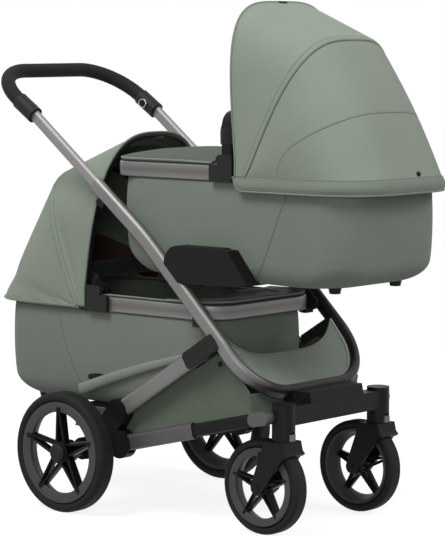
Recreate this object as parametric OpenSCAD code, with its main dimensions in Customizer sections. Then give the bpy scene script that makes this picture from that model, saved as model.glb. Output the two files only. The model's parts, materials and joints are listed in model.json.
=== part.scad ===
// Twin pram: a folding chassis that carries two carrycots, one above the other.
// X points forwards, Y to the left, Z up. The floor is at Z = 0.

/* [Wheels] */
// Diameter of a rear wheel over the tyre
rear_wheel_d = 280; // [250:1:300]
// Width of a rear tyre
rear_tyre_w = 46; // [40:1:50]
// Height of a rear tyre from its bead to its tread
rear_tyre_h = 22; // [18:1:26]
// Distance from the rear blocks to the rear tyres
wheel_gap = 32; // [26:1:51]
// Diameter of a front wheel over the tyre
front_wheel_d = 214; // [200:1:216]
// Width of a front tyre
front_tyre_w = 40; // [34:1:42]
// Height of a front tyre from its bead to its tread
front_tyre_h = 19; // [16:1:22]
// Distance between the middles of the front tyres
front_track = 344; // [330:1:350]
// Distance from the rear axle to the front swivels
swivel_x = 565; // [555:1:580]
// Distance by which a front wheel trails its swivel
trail = 52; // [45:1:56]
// Number of twin spokes in a wheel
spokes = 5; // [3:1:5]

/* [Frame tubes] */
// Gap between a cot's rim and the side tubes
side_gap = 10; // [8:1:18]
// Height of a side tube's section
tube_h = 36; // [34:1:40]
// Width of a side tube's section
tube_w = 24; // [22:1:26]
// Wall of the side tubes where the handle slides
tube_wall = 3; // [2.5:0.1:4]
// Slope of the side tubes above the bend
upper_slope = 37.7; // [36:0.1:39]
// Slope of the side tubes below the bend
lower_slope = 44.3; // [43:0.1:46]
// Slope of the front loop
loop_slope = 50; // [48:0.5:54]
// Distance from the rear axle to the bend in the side tubes
bend_x = 190; // [180:1:200]
// Height of the bend in the side tubes
bend_z = 644; // [630:1:660]
// Length of the side tubes above the bend
upper_l = 192; // [180:1:210]
// Length of the side tubes below the bend
lower_l = 327; // [318:1:336]
// Length of the front loop
loop_l = 138; // [137:1:145]
// Corner radius of the front loop
loop_r = 124; // [110:1:125]

/* [Handle] */
// Length of a handle tube that shows above the side tube
reach = 247; // [200:1:280]
// Height of a handle tube's section
stem_h = 29; // [27:0.5:29.5]
// Width of a handle tube's section
stem_w = 17.4; // [15:0.2:17.4]
// Length of a handle tube inside its side tube
stem_in = 70; // [60:1:80]
// Distance by which the handle slides in
handle_travel = 90; // [60:1:95]
// Slope of the grip
grip_slope = 33.6; // [30:0.2:38]
// Length of the grip from its end sleeves to the bar
grip_l = 184; // [170:1:210]
// Corner radius of the grip
grip_r = 118; // [90:1:120]
// Diameter of the grip
grip_d = 34; // [30:1:36]
// Diameter of the tube inside the grip
core_d = 20; // [16:1:22]
// Length of a grip end sleeve
sleeve_l = 62; // [50:1:64]

/* [Legs and rails] */
// Distance from the rear axle to the leg hinge
hinge_x = 359; // [355:1:363]
// Height of the leg hinge
hinge_z = 395; // [392:1:398]
// Length of a rear leg from its hinge
leg_l = 306; // [300:1:312]
// Height of a rear leg's section
leg_h = 40; // [36:1:42]
// Width of a rear leg's section
leg_w = 20; // [16:1:20]
// Distance from the rear axle to the rail hinge
rail_x = 118; // [112:1:122]
// Height of the rail hinge
rail_z = 163; // [158:1:168]
// Distance from the rail's front hinge to the swivels
rail_gap = 45; // [42:1:50]
// Height of the rail's front hinge
rail_front_z = 262; // [258:1:266]
// Height of a rail tube's section
rail_h = 38; // [36:1:40]
// Width of a rail tube's section
rail_w = 20; // [18:1:20]
// Wall of a rail tube
rail_wall = 2; // [1.5:0.1:2.5]
// Length of a rail tube
rail_l = 228; // [210:1:240]
// Length of the rod in the front of a rail
rod_l = 232; // [224:1:245]
// Angle through which the rear legs fold
fold = 25; // [10:1:25]

/* [Front axle] */
// Diameter of a swivel post
post_d = 52; // [46:1:54]
// Height of a swivel post
post_h = 83; // [78:1:88]
// Height of the underside of a swivel post
post_z = 214; // [213:1:220]
// Height of the bar between the posts
bar_h = 42; // [36:1:46]
// Depth of the bar between the posts
bar_d = 36; // [30:1:40]
// Width of the saddle on the bar
saddle_w = 190; // [150:1:200]

/* [Carrycots] */
// Length of a cot over its rim
cot_l = 710; // [690:1:720]
// Width of a cot over its rim
cot_w = 380; // [360:1:382]
// Height of the rim band
rim_h = 36; // [30:1:40]
// Thickness of the rim band
rim_t = 14; // [12:1:16]
// Corner radius of the rim at the foot end
foot_r = 80; // [60:1:100]
// Corner radius of the rim at the head end
head_r = 120; // [90:1:150]
// Corner radius of the tub at the head end
tub_head_r = 86; // [60:1:110]
// Corner radius of the tub at the foot end
tub_foot_r = 54; // [45:1:80]
// Depth of the tub below the rim
tub_h = 220; // [205:1:222]
// Wall of the tub
tub_wall = 8; // [5:0.5:10]
// Height of the upper cot's rim
upper_z = 815; // [810:1:840]
// Distance from the rear axle to the upper cot's foot end
upper_x = 48; // [44:1:70]
// Height of the lower cot's rim
lower_z = 498; // [490:1:500]
// Distance from the rear axle to the lower cot's foot end
lower_x = 380; // [370:1:384]
// Height of a cot's feet
foot_h = 18; // [8:1:20]
// Thickness of the mattress
mattress_h = 36; // [25:1:50]

/* [Hoods] */
// Distance from the foot end to the hood hinge
hood_x = 397; // [385:1:410]
// Reach of the upper hood's front edge from its hinge
upper_r = 348; // [335:1:360]
// Reach of the lower hood's front edge from its hinge
lower_r = 364; // [335:1:366]
// Height of the middle bow's cover over the hinge
mid_r = 322; // [305:1:335]
// Length of the hood behind its hinge
back_r = 338; // [330:1:350]
// Thickness of the hood cover
cover_t = 3.5; // [2.5:0.5:5]
// Angle of the upper hood's front bow, from the rear
upper_bow = 95; // [85:1:96]
// Angle of the lower hood's front bow, from the rear
lower_bow = 98; // [95:1:101]
// Angle of the middle bows, from the rear
mid_bow = 60; // [55:1:65]
// Depth of the upper hood's skirt below the rim's top
upper_skirt = 57; // [40:1:60]
// Depth of the lower hood's skirt below the rim's top
lower_skirt = 33; // [24:1:60]

/* [Basket] */
// Wall of the basket
basket_t = 3; // [2:0.5:4]

/* [Fits] */
// Gap beside parts that slide or turn past each other
gap = 0.5; // [0.3:0.1:0.6]
// Radial clearance of a pin in its bore
run = 0.05; // [0.02:0.01:0.1]
// Gap between parts that rest on each other
seat = 0.3; // [0.2:0.05:0.4]
// Diameter of the wheel axles and swivel pins
axle_d = 12; // [10:1:14]
// Diameter of the hinge pins
pin_d = 10; // [8:1:12]

/* [Hidden] */
$fn = 48;

rim_y = cot_w / 2;
tube_y = rim_y + side_gap + tube_w / 2;

// Points in the side view are [x, z], with x from the rear axle.
function along(p, angle, l) = [p.x + l * cos(angle), p.y + l * sin(angle)];
function slope_of(p, q) = atan2(q.y - p.y, q.x - p.x);

bend = [bend_x, bend_z];
tube_top = along(bend, 180 - upper_slope, upper_l);
loop_start = along(bend, -lower_slope, lower_l);
loop_bar = along(loop_start, -loop_slope, loop_l);
grip_end = along(tube_top, 180 - upper_slope, reach);
grip_bar = along(grip_end, 180 - grip_slope, grip_l);
bend_r = 800;
loop_bend_r = 150;
// A length that reaches past the pram
far = 1500;

axle = [0, rear_wheel_d / 2];
hinge = [hinge_x, hinge_z];
rail_hinge = [rail_x, rail_z];
rail_front = [swivel_x - rail_gap, rail_front_z];
rail_slope = slope_of(rail_hinge, rail_front);
leg_slope = 32.2;
leg_end = along(hinge, 180 + leg_slope, leg_l);
front_axle_x = swivel_x - trail;
front_r = front_wheel_d / 2;
fork_r = front_r + 3;
fork_in = front_tyre_w / 2 + 3;
fork_out = fork_in + 9;
post_top = post_z + post_h;
bar_top = post_top - 7;

block_in = tube_y - 14;
block_out = tube_y + 14;
rear_track = 2 * (block_out + wheel_gap) + rear_tyre_w;
axle_out = rear_track / 2 + 24;

tub_y = rim_y - 6;
tub_foot = 25;
tub_head = 16;
tub_foot_cut = [70, 42];
tub_head_cut = [58, 48];
tub_head_knee = [17, 14];
tub_side_cut = [30, 36];
tub_z = -rim_h - tub_h;
pin_z = 14;
cot_pin_d = 8;
bow_t = 4;
bow_w = 10;
cover_y = rim_y + 6;
hem_out = 0.8;
skirt_lap = 4;
skirt_up = 8;
upper_power = 3.9;
lower_power = 2.9;
mid_power = 2.6;
front_bow_y = cover_y - cover_t - 3;
mid_bow_y = front_bow_y - bow_t - 1;
clip_in = rim_y + seat;
clip_out = clip_in + 9;
clip_thin = cover_y - cover_t - seat;
clip_l = 100;
clip_front = 26;
clip_step = 8;
carry_x = hood_x - 42;
carry_h = 106;
carry_y = rim_y - rim_t;
carry_t = 12;
carry_corner = 34;
carry_w = 28;
lower_carry_lean = 70;

// The middle of the whole pram lies at the origin.
rear_end = min(grip_bar.x - grip_d / 2, lower_x - hood_x - back_r);
front_end = upper_x + hood_x + back_r;
middle_x = (rear_end + front_end) / 2;

upper_apron_l = hood_x + clip_front - clip_l - seat;
lower_apron_l = 150;
apron_crown = 22;
lower_crown = 12;

frame_grey = [0.56, 0.54, 0.53];
plastic_black = [0.11, 0.11, 0.12];
plastic_grey = [0.22, 0.22, 0.23];
tyre_black = [0.08, 0.08, 0.08];
sage = [0.52, 0.56, 0.51];
dark_sage = [0.30, 0.34, 0.29];
silver = [0.75, 0.75, 0.75];

// Shared shapes

// Puts a part that is drawn from the rear axle into the pram's own frame
module placed() {
  translate([-middle_x, 0, 0]) children();
}

// Copies a part of the left side to the right side
module both_sides() {
  children();
  mirror([0, 1, 0]) children();
}

// A part of the left side, on the side that is asked for
module on_side(side) {
  if (side > 0) children();
  if (side < 0) mirror([0, 1, 0]) children();
}

// A side-view outline that is as thick as the space from y0 to y1
module slab(y0, y1) {
  translate([0, y1, 0]) rotate([90, 0, 0]) linear_extrude(y1 - y0) children();
}

// A flat-oval tube section
module oval(h, w) {
  square([h - w, w], center = true);
  for (end = [-1, 1]) translate([end * (h - w) / 2, 0]) circle(d = w);
}

// A bar with round ends between two points of the side view. The bar is a hair slimmer than its ends,
// so that a line crosses each circle at an angle instead of grazing it
module bar_outline(p, q, w) {
  l = norm(q - p);
  slim = 0.99 * w;
  translate(p) rotate(slope_of(p, q)) translate([0, -slim / 2]) square([l, slim]);
  translate(p) circle(d = w);
  translate(q) circle(d = w);
}

// A straight flat-oval tube, l long, that leaves p of the side view at an angle
module straight_tube(p, angle, l, h, w, y = tube_y) {
  translate([p.x, y, p.y]) rotate([0, -angle, 0]) rotate([90, 0, 90])
    linear_extrude(l) rotate(90) oval(h, w);
}

// A bend of a flat-oval tube in the side view, round a centre, from one angle through a turn
module bent_tube(c, r, from, turn, h, w, y = tube_y) {
  translate([c.x, y, c.y]) rotate([90, 0, 0]) rotate(from)
    rotate_extrude(angle = turn, $fn = 96) translate([r, 0]) oval(h, w);
}

// A round rod across the pram
module cross_rod(p, d, y0, y1) {
  slab(y0, y1) translate(p) circle(d = d);
}

// Half of a U that lies along X and Y and is made of a tube whose section is a child
module half_u(l, r, half) {
  rotate([90, 0, 90]) linear_extrude(l - r) translate([half, 0]) children();
  translate([l - r, half - r, 0]) rotate_extrude(angle = 90) translate([r, 0]) children();
  translate([l, half - r, 0]) rotate([90, 0, 0]) linear_extrude(half - r) children();
}

// Chassis

bend_turn = lower_slope - upper_slope;
bend_cut = bend_r * tan(bend_turn / 2);
loop_turn = loop_slope - lower_slope;
loop_cut = loop_bend_r * tan(loop_turn / 2);
bend_from = along(bend, 180 - upper_slope, bend_cut);
loop_from = along(loop_start, 180 - lower_slope, loop_cut);

// The side tubes and the front loop, without the bores for the handle
module frame_tube(extra = 0) {
  h = tube_h + 2 * extra;
  w = tube_w + 2 * extra;
  both_sides() {
    straight_tube(tube_top, -upper_slope, upper_l - bend_cut, h, w);
    bent_tube(along(bend_from, -90 - upper_slope, bend_r), bend_r, 90 - lower_slope, bend_turn, h, w);
    straight_tube(along(bend, -lower_slope, bend_cut), -lower_slope, lower_l - bend_cut - loop_cut, h, w);
    bent_tube(along(loop_from, -90 - lower_slope, loop_bend_r), loop_bend_r, 90 - loop_slope,
      loop_turn, h, w);
    translate([loop_start.x, 0, loop_start.y]) rotate([0, loop_slope, 0]) {
      translate([loop_cut, 0, 0]) half_u(loop_l - loop_cut, loop_r, tube_y) rotate(90) oval(h, w);
    }
  }
}

module main_frame() color(frame_grey) placed() difference() {
  frame_tube();
  bore_l = stem_in + handle_travel + 6;
  both_sides() straight_tube(along(tube_top, 180 - upper_slope, 1), -upper_slope, bore_l + 1,
    tube_h - 2 * tube_wall, tube_w - 2 * tube_wall);
}

// Handle

module grip_frame() {
  translate([grip_end.x, 0, grip_end.y]) rotate([0, grip_slope, 0]) rotate([0, 0, 180]) children();
}

module grip_core(d) {
  grip_frame() both_sides() half_u(grip_l, grip_r, tube_y) circle(d = d);
}

module handle_tube() color(frame_grey) placed() {
  both_sides() straight_tube(along(tube_top, -upper_slope, stem_in), 180 - upper_slope, stem_in + reach,
    stem_h, stem_w);
  grip_core(core_d);
}

module handle_grip() color(plastic_black) placed() difference() {
  grip_core(grip_d);
  grip_core(core_d + 2 * run);
  grip_frame() both_sides() translate([-1, tube_y - grip_d, -grip_d])
    cube([sleeve_l + 1 + seat, 2 * grip_d, 2 * grip_d]);
}

sleeve_h = 40;
sleeve_w = 38;
button_l = 26;
button_w = 13;
button_out = 2.5;
button_in = 3.5;
button_x = sleeve_l * 0.55;

module button_outline(extra) {
  oval(button_l + 2 * extra, button_w + 2 * extra);
}

module grip_sleeves() color(plastic_grey) placed() difference() {
  grip_frame() both_sides() difference() {
    translate([seat, tube_y, 0]) rotate([90, 0, 90])
      linear_extrude(sleeve_l - seat) rotate(90) oval(sleeve_h, sleeve_w);
    translate([button_x, tube_y - sleeve_w / 2 + button_in + button_out + gap, 0]) rotate([90, 0, 0])
      linear_extrude(sleeve_w) button_outline(gap);
  }
  grip_core(core_d + 2 * run);
  both_sides() straight_tube(along(grip_end, -upper_slope, 5), 180 - upper_slope, 5 + seat,
    stem_h + 1, stem_w + 1);
}

module handle_button(side) color(silver) placed() grip_frame() on_side(-side) {
  translate([button_x, tube_y - sleeve_w / 2 + button_in, 0]) rotate([90, 0, 0])
    linear_extrude(button_in + button_out) button_outline(0);
}

lever_s = 30;
lever_l = 24;
lever_w = 15;
lever_h = 13;
lever_cut = 35;

// The catch on the underside of a side tube that frees the fold
module fold_lever(side) color(plastic_black) placed() on_side(side) {
  translate([tube_top.x, tube_y, tube_top.y]) rotate([0, upper_slope, 0])
    translate([lever_s, 0, -tube_h / 2 - seat]) difference() {
      translate([0, -lever_w / 2, -lever_h]) cube([lever_l, lever_w, lever_h + 3]);
      translate([-1, 0, tube_w / 2 + seat]) rotate([0, 90, 0])
        cylinder(d = tube_w + 2 * seat, h = lever_l + 2);
      translate([-lever_l / 4, -lever_w, -lever_h]) rotate([0, lever_cut, 0])
        translate([-lever_l, 0, -lever_l]) cube([lever_l, 2 * lever_w, 2 * lever_l]);
    }
}

// Rear legs

cheek_t = 4;
cheek_in = leg_w / 2 + gap;
cheek_out = cheek_in + cheek_t;
cheek_l = 44;
cheek_up = 62;
cheek_cut = 6;
tube_foot = along(hinge, leg_slope, cheek_up);

// A block along the leg with its two free corners cut off
module cheek_outline() {
  half = leg_h / 2;
  translate(hinge) rotate(leg_slope) polygon([
    [-cheek_l, -half + cheek_cut], [-cheek_l + cheek_cut, -half], [cheek_up, -half],
    [cheek_up, half], [-cheek_l + cheek_cut, half], [-cheek_l, half - cheek_cut]]);
}

module leg_brackets() color(plastic_grey) placed() difference() {
  both_sides() {
    for (face = [-1, 1]) translate([0, tube_y + face * (cheek_in + cheek_out) / 2, 0])
      slab(-cheek_t / 2, cheek_t / 2) cheek_outline();
    slab(tube_y - cheek_out, tube_y + cheek_out) difference() {
      cheek_outline();
      translate(hinge) rotate(leg_slope) translate([-2 * cheek_l, -leg_h])
        square([2 * cheek_l + leg_h / 2 + 2, 2 * leg_h]);
    }
    cross_rod(hinge, pin_d, tube_y - cheek_out, tube_y + cheek_out);
  }
  frame_tube(seat);
  both_sides() slab(0, far) translate(tube_foot) rotate(-lower_slope)
    translate([-far, 0]) square([2 * far, far]);
}

module leg(extra = 0) {
  straight_tube(hinge, 180 + leg_slope, norm(leg_end - hinge), leg_h + 2 * extra, leg_w + 2 * extra);
  slab(tube_y - leg_w / 2 - extra, tube_y + leg_w / 2 + extra) translate(hinge) circle(d = leg_h + 2 * extra);
}

module rear_legs() color(frame_grey) placed() both_sides() difference() {
  leg();
  cross_rod(hinge, pin_d + 2 * run, tube_y - leg_w, tube_y + leg_w);
}

boss_r = 33;
block_top = axle + [64, 32];
block_w = 58;
stub_d = 34;
rod_share = 0.736;
slot_y = rail_w / 2 + gap;

module rear_blocks() color(plastic_black) placed() both_sides() {
  difference() {
    union() {
      slab(block_in, block_out) {
        bar_outline(along(leg_end, leg_slope, 12), block_top, block_w);
        bar_outline(rail_hinge, axle, 2 * boss_r - 14);
        translate(rail_hinge) circle(r = boss_r);
      }
      cross_rod(axle, stub_d, block_out - 1, rear_track / 2 - rear_tyre_w / 2 - 1);
    }
    leg(run);
    cross_rod(axle, axle_d, block_in - 1, axle_out);
    slab(tube_y - slot_y, tube_y + slot_y) {
      for (turn = [0, fold * (1 - rod_share)])
        bar_outline(rail_hinge, along(rail_hinge, rail_slope - turn, 80), rail_h + 6);
    }
  }
  cross_rod(rail_hinge, pin_d, tube_y - slot_y - 1, tube_y + slot_y + 1);
}

axle_tube_d = 28;

module rear_axle() color(frame_grey) placed() {
  cross_rod(axle, axle_d, -axle_out, axle_out);
  cross_rod(axle, axle_tube_d, -block_in, block_in);
}

pedal_w = 84;
pedal_l = 74;
pedal_slope = 168;

// The parking brake's pedal, which turns on the rear axle's tube
module brake_pedal() color(plastic_black) placed() difference() {
  union() {
    slab(-pedal_w / 4, pedal_w / 4) {
      translate(axle) circle(d = axle_tube_d + 14);
      bar_outline(axle, along(axle, pedal_slope, pedal_l - 10), 14);
    }
    slab(-pedal_w / 2, pedal_w / 2)
      bar_outline(along(axle, pedal_slope, pedal_l - 28), along(axle, pedal_slope, pedal_l), 12);
  }
  cross_rod(axle, axle_tube_d + 2 * run, -pedal_w, pedal_w);
}

// Lower rails

module rail_tubes() color(frame_grey) placed() both_sides() difference() {
  union() {
    straight_tube(rail_hinge, rail_slope, rail_l, rail_h, rail_w);
    slab(tube_y - rail_w / 2, tube_y + rail_w / 2) translate(rail_hinge) circle(d = rail_h);
  }
  cross_rod(rail_hinge, pin_d + 2 * run, tube_y - rail_w, tube_y + rail_w);
  straight_tube(along(rail_hinge, rail_slope, rail_h), rail_slope, rail_l,
    rail_h - 2 * rail_wall, rail_w - 2 * rail_wall);
}

rod_play = 2.2;
rod_h = rail_h - 2 * rail_wall - 2 * rod_play;
rod_w = rail_w - 2 * rail_wall - 2 * gap;

module rail_rods() color(plastic_black) placed() both_sides() difference() {
  union() {
    straight_tube(rail_front, 180 + rail_slope, rod_l, rod_h, rod_w);
    slab(tube_y - rod_w / 2, tube_y + rod_w / 2) translate(rail_front) circle(d = rod_h);
  }
  cross_rod(rail_front, pin_d + 2 * run, tube_y - rail_w, tube_y + rail_w);
}

lug_l = 52;
lug_slope = 12;
lug_d = rod_h + 2;
lug = along(rail_front, lug_slope, rail_gap - 20);
bracket_in = tube_y - 14;
bracket_out = max(tube_y + 12, front_track / 2 + lug_l);
bracket_slot = rod_w / 2 + gap;

module rail_brackets() color(frame_grey) placed() both_sides() {
  difference() {
    union() {
      slab(bracket_in, bracket_out) bar_outline(rail_front, lug, lug_d);
      slab(front_track / 2, bracket_out) translate(lug) circle(d = lug_d);
    }
    translate([swivel_x, front_track / 2, 0]) cylinder(d = post_d, h = far);
    slab(tube_y - bracket_slot, tube_y + bracket_slot)
      translate([rail_front.x - 2 * rail_h, rail_front_z - rail_h])
        square([2 * rail_h + lug_d / 2 + 1, 2 * rail_h]);
  }
  cross_rod(rail_front, pin_d, tube_y - bracket_slot - 1, tube_y + bracket_slot + 1);
}

// Front axle and casters

saddle_top = loop_bar.y + 4;
lock_w = 18;
lock_d = 9;
lock_h = 14;
lock_up = 2;
lock_travel = 5;
swivel_pin_h = post_h - 20;

module front_axle() color(plastic_black) placed() difference() {
  union() {
    both_sides() translate([swivel_x, front_track / 2, post_z]) cylinder(d = post_d, h = post_h);
    translate([swivel_x - bar_d / 2, -front_track / 2, bar_top - bar_h]) cube([bar_d, front_track, bar_h]);
    slab(-saddle_w / 2, saddle_w / 2) polygon([
      [loop_bar.x - 10, bar_top - 12], [swivel_x, bar_top - 12], [swivel_x + bar_d / 2, bar_top - 4],
      [swivel_x + bar_d / 2 - 6, saddle_top], [loop_bar.x - 10, saddle_top]]);
  }
  frame_tube(seat);
  both_sides() translate([swivel_x, front_track / 2, post_z]) {
    translate([0, 0, -1]) cylinder(d = axle_d + 2 * run, h = swivel_pin_h + 3);
    translate([post_d / 2 - lock_d + 2, -lock_w / 2 - gap, lock_up - gap])
      cube([lock_d + 10, lock_w + 2 * gap, lock_h + lock_travel + 2 * gap]);
  }
}

// The sliding catch that holds a caster straight
module swivel_lock(side) color(silver) placed() on_side(side) {
  translate([swivel_x + post_d / 2 - lock_d + 2 + seat, front_track / 2 - lock_w / 2, post_z + lock_up])
    cube([lock_d - 1, lock_w, lock_h]);
}

// A tapered fork leg in the side view
module fork_outline() {
  wheel = [front_axle_x, front_r];
  polygon([[swivel_x - 30, post_z - seat], [swivel_x + 24, post_z - seat], [swivel_x + 30, post_z - 26],
    [front_axle_x + 17, front_r - 4], [front_axle_x - 15, front_r + 6]]);
  translate(wheel) circle(d = 32);
}

crown_t = 8;
visor_from = 42;
visor_to = 72;

module fork(side) color(plastic_black) placed() on_side(side) translate([0, front_track / 2, 0]) {
  difference() {
    union() {
      for (face = [-1, 1]) translate([0, face * (fork_in + fork_out) / 2, 0])
        slab(-(fork_out - fork_in) / 2, (fork_out - fork_in) / 2) fork_outline();
      slab(-fork_out, fork_out) intersection() {
        fork_outline();
        difference() {
          translate([front_axle_x, front_r]) circle(r = 2 * front_r);
          translate([front_axle_x, front_r]) circle(r = fork_r);
        }
      }
      slab(-fork_out, fork_out) translate([front_axle_x, front_r]) intersection() {
        difference() {
          circle(r = fork_r + crown_t);
          circle(r = fork_r);
        }
        polygon([[0, 0], along([0, 0], visor_from, 2 * fork_r), along([0, 0], visor_to, 2 * fork_r)]);
      }
    }
    slab(-fork_out - 1, fork_out + 1) translate([front_axle_x, front_r]) circle(d = axle_d);
    translate([-far, -far, post_z - seat]) cube([2 * far, 2 * far, far]);
  }
  translate([swivel_x, 0, post_z - 5]) cylinder(d = axle_d, h = swivel_pin_h + 5);
}

module fork_pin(side) color(silver) placed() on_side(side) translate([0, front_track / 2, 0])
  cross_rod([front_axle_x, front_r], axle_d, -fork_out - 2, fork_out + 2);

// Wheels

module tyre(r, w, h) {
  rotate([90, 0, 0]) rotate_extrude($fn = 96) translate([r - h / 2, 0]) rotate(90) oval(w, h);
}

lip_h = 6;

// A moulded rim with twin spokes that meet at the ring
module spoked_rim(bead, ring_w, w, hub_r, hub_w, spoke_t) {
  inner = bead - ring_w;
  rotate([90, 0, 0]) difference() {
    union() {
      rotate_extrude($fn = 96) polygon([
        [inner, -w / 3], [bead - lip_h, -w / 3], [bead - lip_h, -w / 2], [bead, -w / 2],
        [bead, w / 2], [bead - lip_h, w / 2], [bead - lip_h, w / 3], [inner, w / 3]]);
      cylinder(r = hub_r, h = hub_w, center = true);
      for (i = [0 : spokes - 1]) rotate(90 + i * 360 / spokes) {
        for (side = [-1, 1]) linear_extrude(spoke_t, center = true)
          bar_outline([hub_r * 0.4, side * hub_r * 0.36], [inner + ring_w / 2, side * ring_w * 0.26],
            ring_w * 0.42);
      }
    }
    cylinder(d = axle_d + 2 * run, h = 2 * hub_w, center = true);
  }
}

module rear_tyre(side) color(tyre_black) placed() translate([0, side * rear_track / 2, axle.y])
  tyre(rear_wheel_d / 2, rear_tyre_w, rear_tyre_h);

module rear_rim(side) color(plastic_grey) placed() translate([0, side * rear_track / 2, axle.y])
  spoked_rim(rear_wheel_d / 2 - rear_tyre_h, 20, 36, 24, 44, 18);

cap_r = 21;

module hub_cap(side) color(plastic_grey) placed() on_side(side) {
  difference() {
    translate([0, rear_track / 2 + 22, axle.y]) rotate([-90, 0, 0]) {
      cylinder(r = cap_r, h = 6);
      translate([0, 0, 6]) cylinder(r1 = cap_r, r2 = cap_r - 6, h = 4);
    }
    cross_rod(axle, axle_d + 2 * run, 0, axle_out + seat);
  }
}

module front_tyre(side) color(tyre_black) placed() translate([front_axle_x, side * front_track / 2, front_r])
  tyre(front_r, front_tyre_w, front_tyre_h);

module front_rim(side) color(plastic_grey) placed() translate([front_axle_x, side * front_track / 2, front_r])
  spoked_rim(front_r - front_tyre_h, 18, 32, 18, 2 * fork_in - 2 * gap, 16);

// Basket and footwell

panel_t = 4;
panel_up = 40;
basket_rear = -50;
basket_floor = 182;
basket_hem = 282;
basket_back = 238;
basket_y = tube_y - cheek_out - seat;
basket_step = rail_x + 20;
basket_nose = 40;
basket_chin = 8;

module basket() color(dark_sage) placed() {
  front = along(rail_front, 180 + rail_slope, 30);
  under_loop = along(loop_start, -loop_slope - 90, tube_h / 2 + 1);
  outline = [
    [basket_rear, basket_back], [basket_rear, basket_floor], [basket_step, basket_floor],
    [front.x, front.y - basket_chin], [front.x, front.y + basket_nose], along(under_loop, -loop_slope, 76),
    along(under_loop, -loop_slope, 8), hinge, [hinge_x - 42, hinge_z - 12], [basket_rear + 24, basket_hem]];
  inner = [
    [basket_rear + basket_t, far], [basket_rear + basket_t, basket_floor + basket_t],
    [basket_step, basket_floor + basket_t], [front.x - basket_t, front.y - basket_chin + basket_t],
    [front.x - basket_t, far]];
  difference() {
    slab(-basket_y, basket_y) polygon(outline);
    slab(-basket_y + basket_t, basket_y - basket_t) {
      polygon(inner);
      translate([basket_rear - 1, basket_back]) square([60, far]);
    }
  }
}

module footwell_panel() color(sage) placed() {
  half = tube_y - cheek_out - seat;
  r = loop_r - cheek_out - seat;
  l = loop_l - tube_w / 2 - seat;
  translate([loop_start.x, 0, loop_start.y]) rotate([0, loop_slope, 0])
    translate([0, 0, -panel_t / 2]) linear_extrude(panel_t) {
    translate([-panel_up, -half]) square([panel_up + l - r, 2 * half]);
    intersection() {
      translate([l - r, -half]) square([r, 2 * half]);
      union() {
        translate([l - r, -half + r]) square([r, 2 * half - 2 * r]);
        for (side = [-1, 1]) translate([l - r, side * (half - r)]) circle(r = r);
      }
    }
  }
}

// Adapters that carry the cots

shelf_in = tub_y - 66;
shelf_l = 188;
shelf_t = 10;
pod_x = 252;
pod_l = 112;
pod_h = 84;
pod_up = 32;
wing_l = 88;

// The pod beside the upper cot with its wing, drawn from the cot's foot end and its underside
module pod_outline() {
  wing = pod_x + pod_l;
  bar_outline([pod_x, pod_up], [wing, pod_up], pod_h);
  polygon([
    [wing - 12, pod_up + 40], [wing + 34, pod_up + 38], [wing + wing_l, 2], [wing + wing_l - 4, -2],
    [wing - 12, -shelf_t]]);
}

module upper_adapters() color(plastic_black) placed() difference() {
  both_sides() translate([upper_x, 0, upper_z + tub_z]) {
    slab(tub_y + 2, tube_y + tube_w / 2) pod_outline();
    slab(shelf_in, tub_y + 2.5) polygon([
      [pod_x, -seat], [pod_x + shelf_l, -seat], [pod_x + shelf_l - 18, -shelf_t], [pod_x + 30, -shelf_t]]);
  }
  frame_tube(seat);
  both_sides() slab(0, far) translate(bend) rotate(-lower_slope)
    translate([-far, -far]) square([2 * far, far]);
}

adapter_drop = 14;
adapter_w = 34;
adapter_from = 145;
adapter_to = 225;
ledge_in = rim_y - 18;
ledge_l = 28;
ledge_t = 12;

module lower_adapters() color(plastic_grey) placed() difference() {
  top = along(bend, -lower_slope, adapter_from) - [0, adapter_drop];
  foot = along(bend, -lower_slope, adapter_to) - [0, adapter_drop];
  ledge_top = lower_z - rim_h - seat;
  both_sides() {
    slab(rim_y + 1.2, tube_y - tube_w / 2) {
      bar_outline(top, foot, adapter_w);
      translate([foot.x - ledge_l, ledge_top - ledge_t]) square([ledge_l, 40]);
    }
    slab(ledge_in, rim_y + 2) translate([foot.x - ledge_l, ledge_top - ledge_t]) square([ledge_l, ledge_t]);
  }
  frame_tube(0.01);
  translate([lower_x, 0, lower_z]) rotate(180) tub_form(-seat, seat);
}

// Carrycots, drawn with the foot end at x = 0, the head towards +X and the rim's top at z = 0

module upper_cot() {
  placed() translate([upper_x, 0, upper_z]) children();
}

module lower_cot() {
  placed() translate([lower_x, 0, lower_z]) rotate(180) children();
}

// A cot's outline from above, drawn in by the given distances at the foot, the head and the sides
module cot_outline(foot = 0, head = 0, side = 0, corner = head_r, toe = foot_r) {
  l = cot_l - foot - head;
  half = rim_y - side;
  fr = max(toe - side, 10);
  hr = max(corner - side, 10);
  translate([foot, 0]) {
    translate([fr, -half]) square([l - fr - hr, 2 * half]);
    translate([0, -half + fr]) square([l / 2, 2 * half - 2 * fr]);
    translate([l / 2, -half + hr]) square([l / 2, 2 * half - 2 * hr]);
    for (y = [-1, 1]) {
      translate([fr, y * (half - fr)]) circle(r = fr, $fn = 64);
      translate([l - hr, y * (half - hr)]) circle(r = hr, $fn = 64);
    }
  }
}

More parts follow.
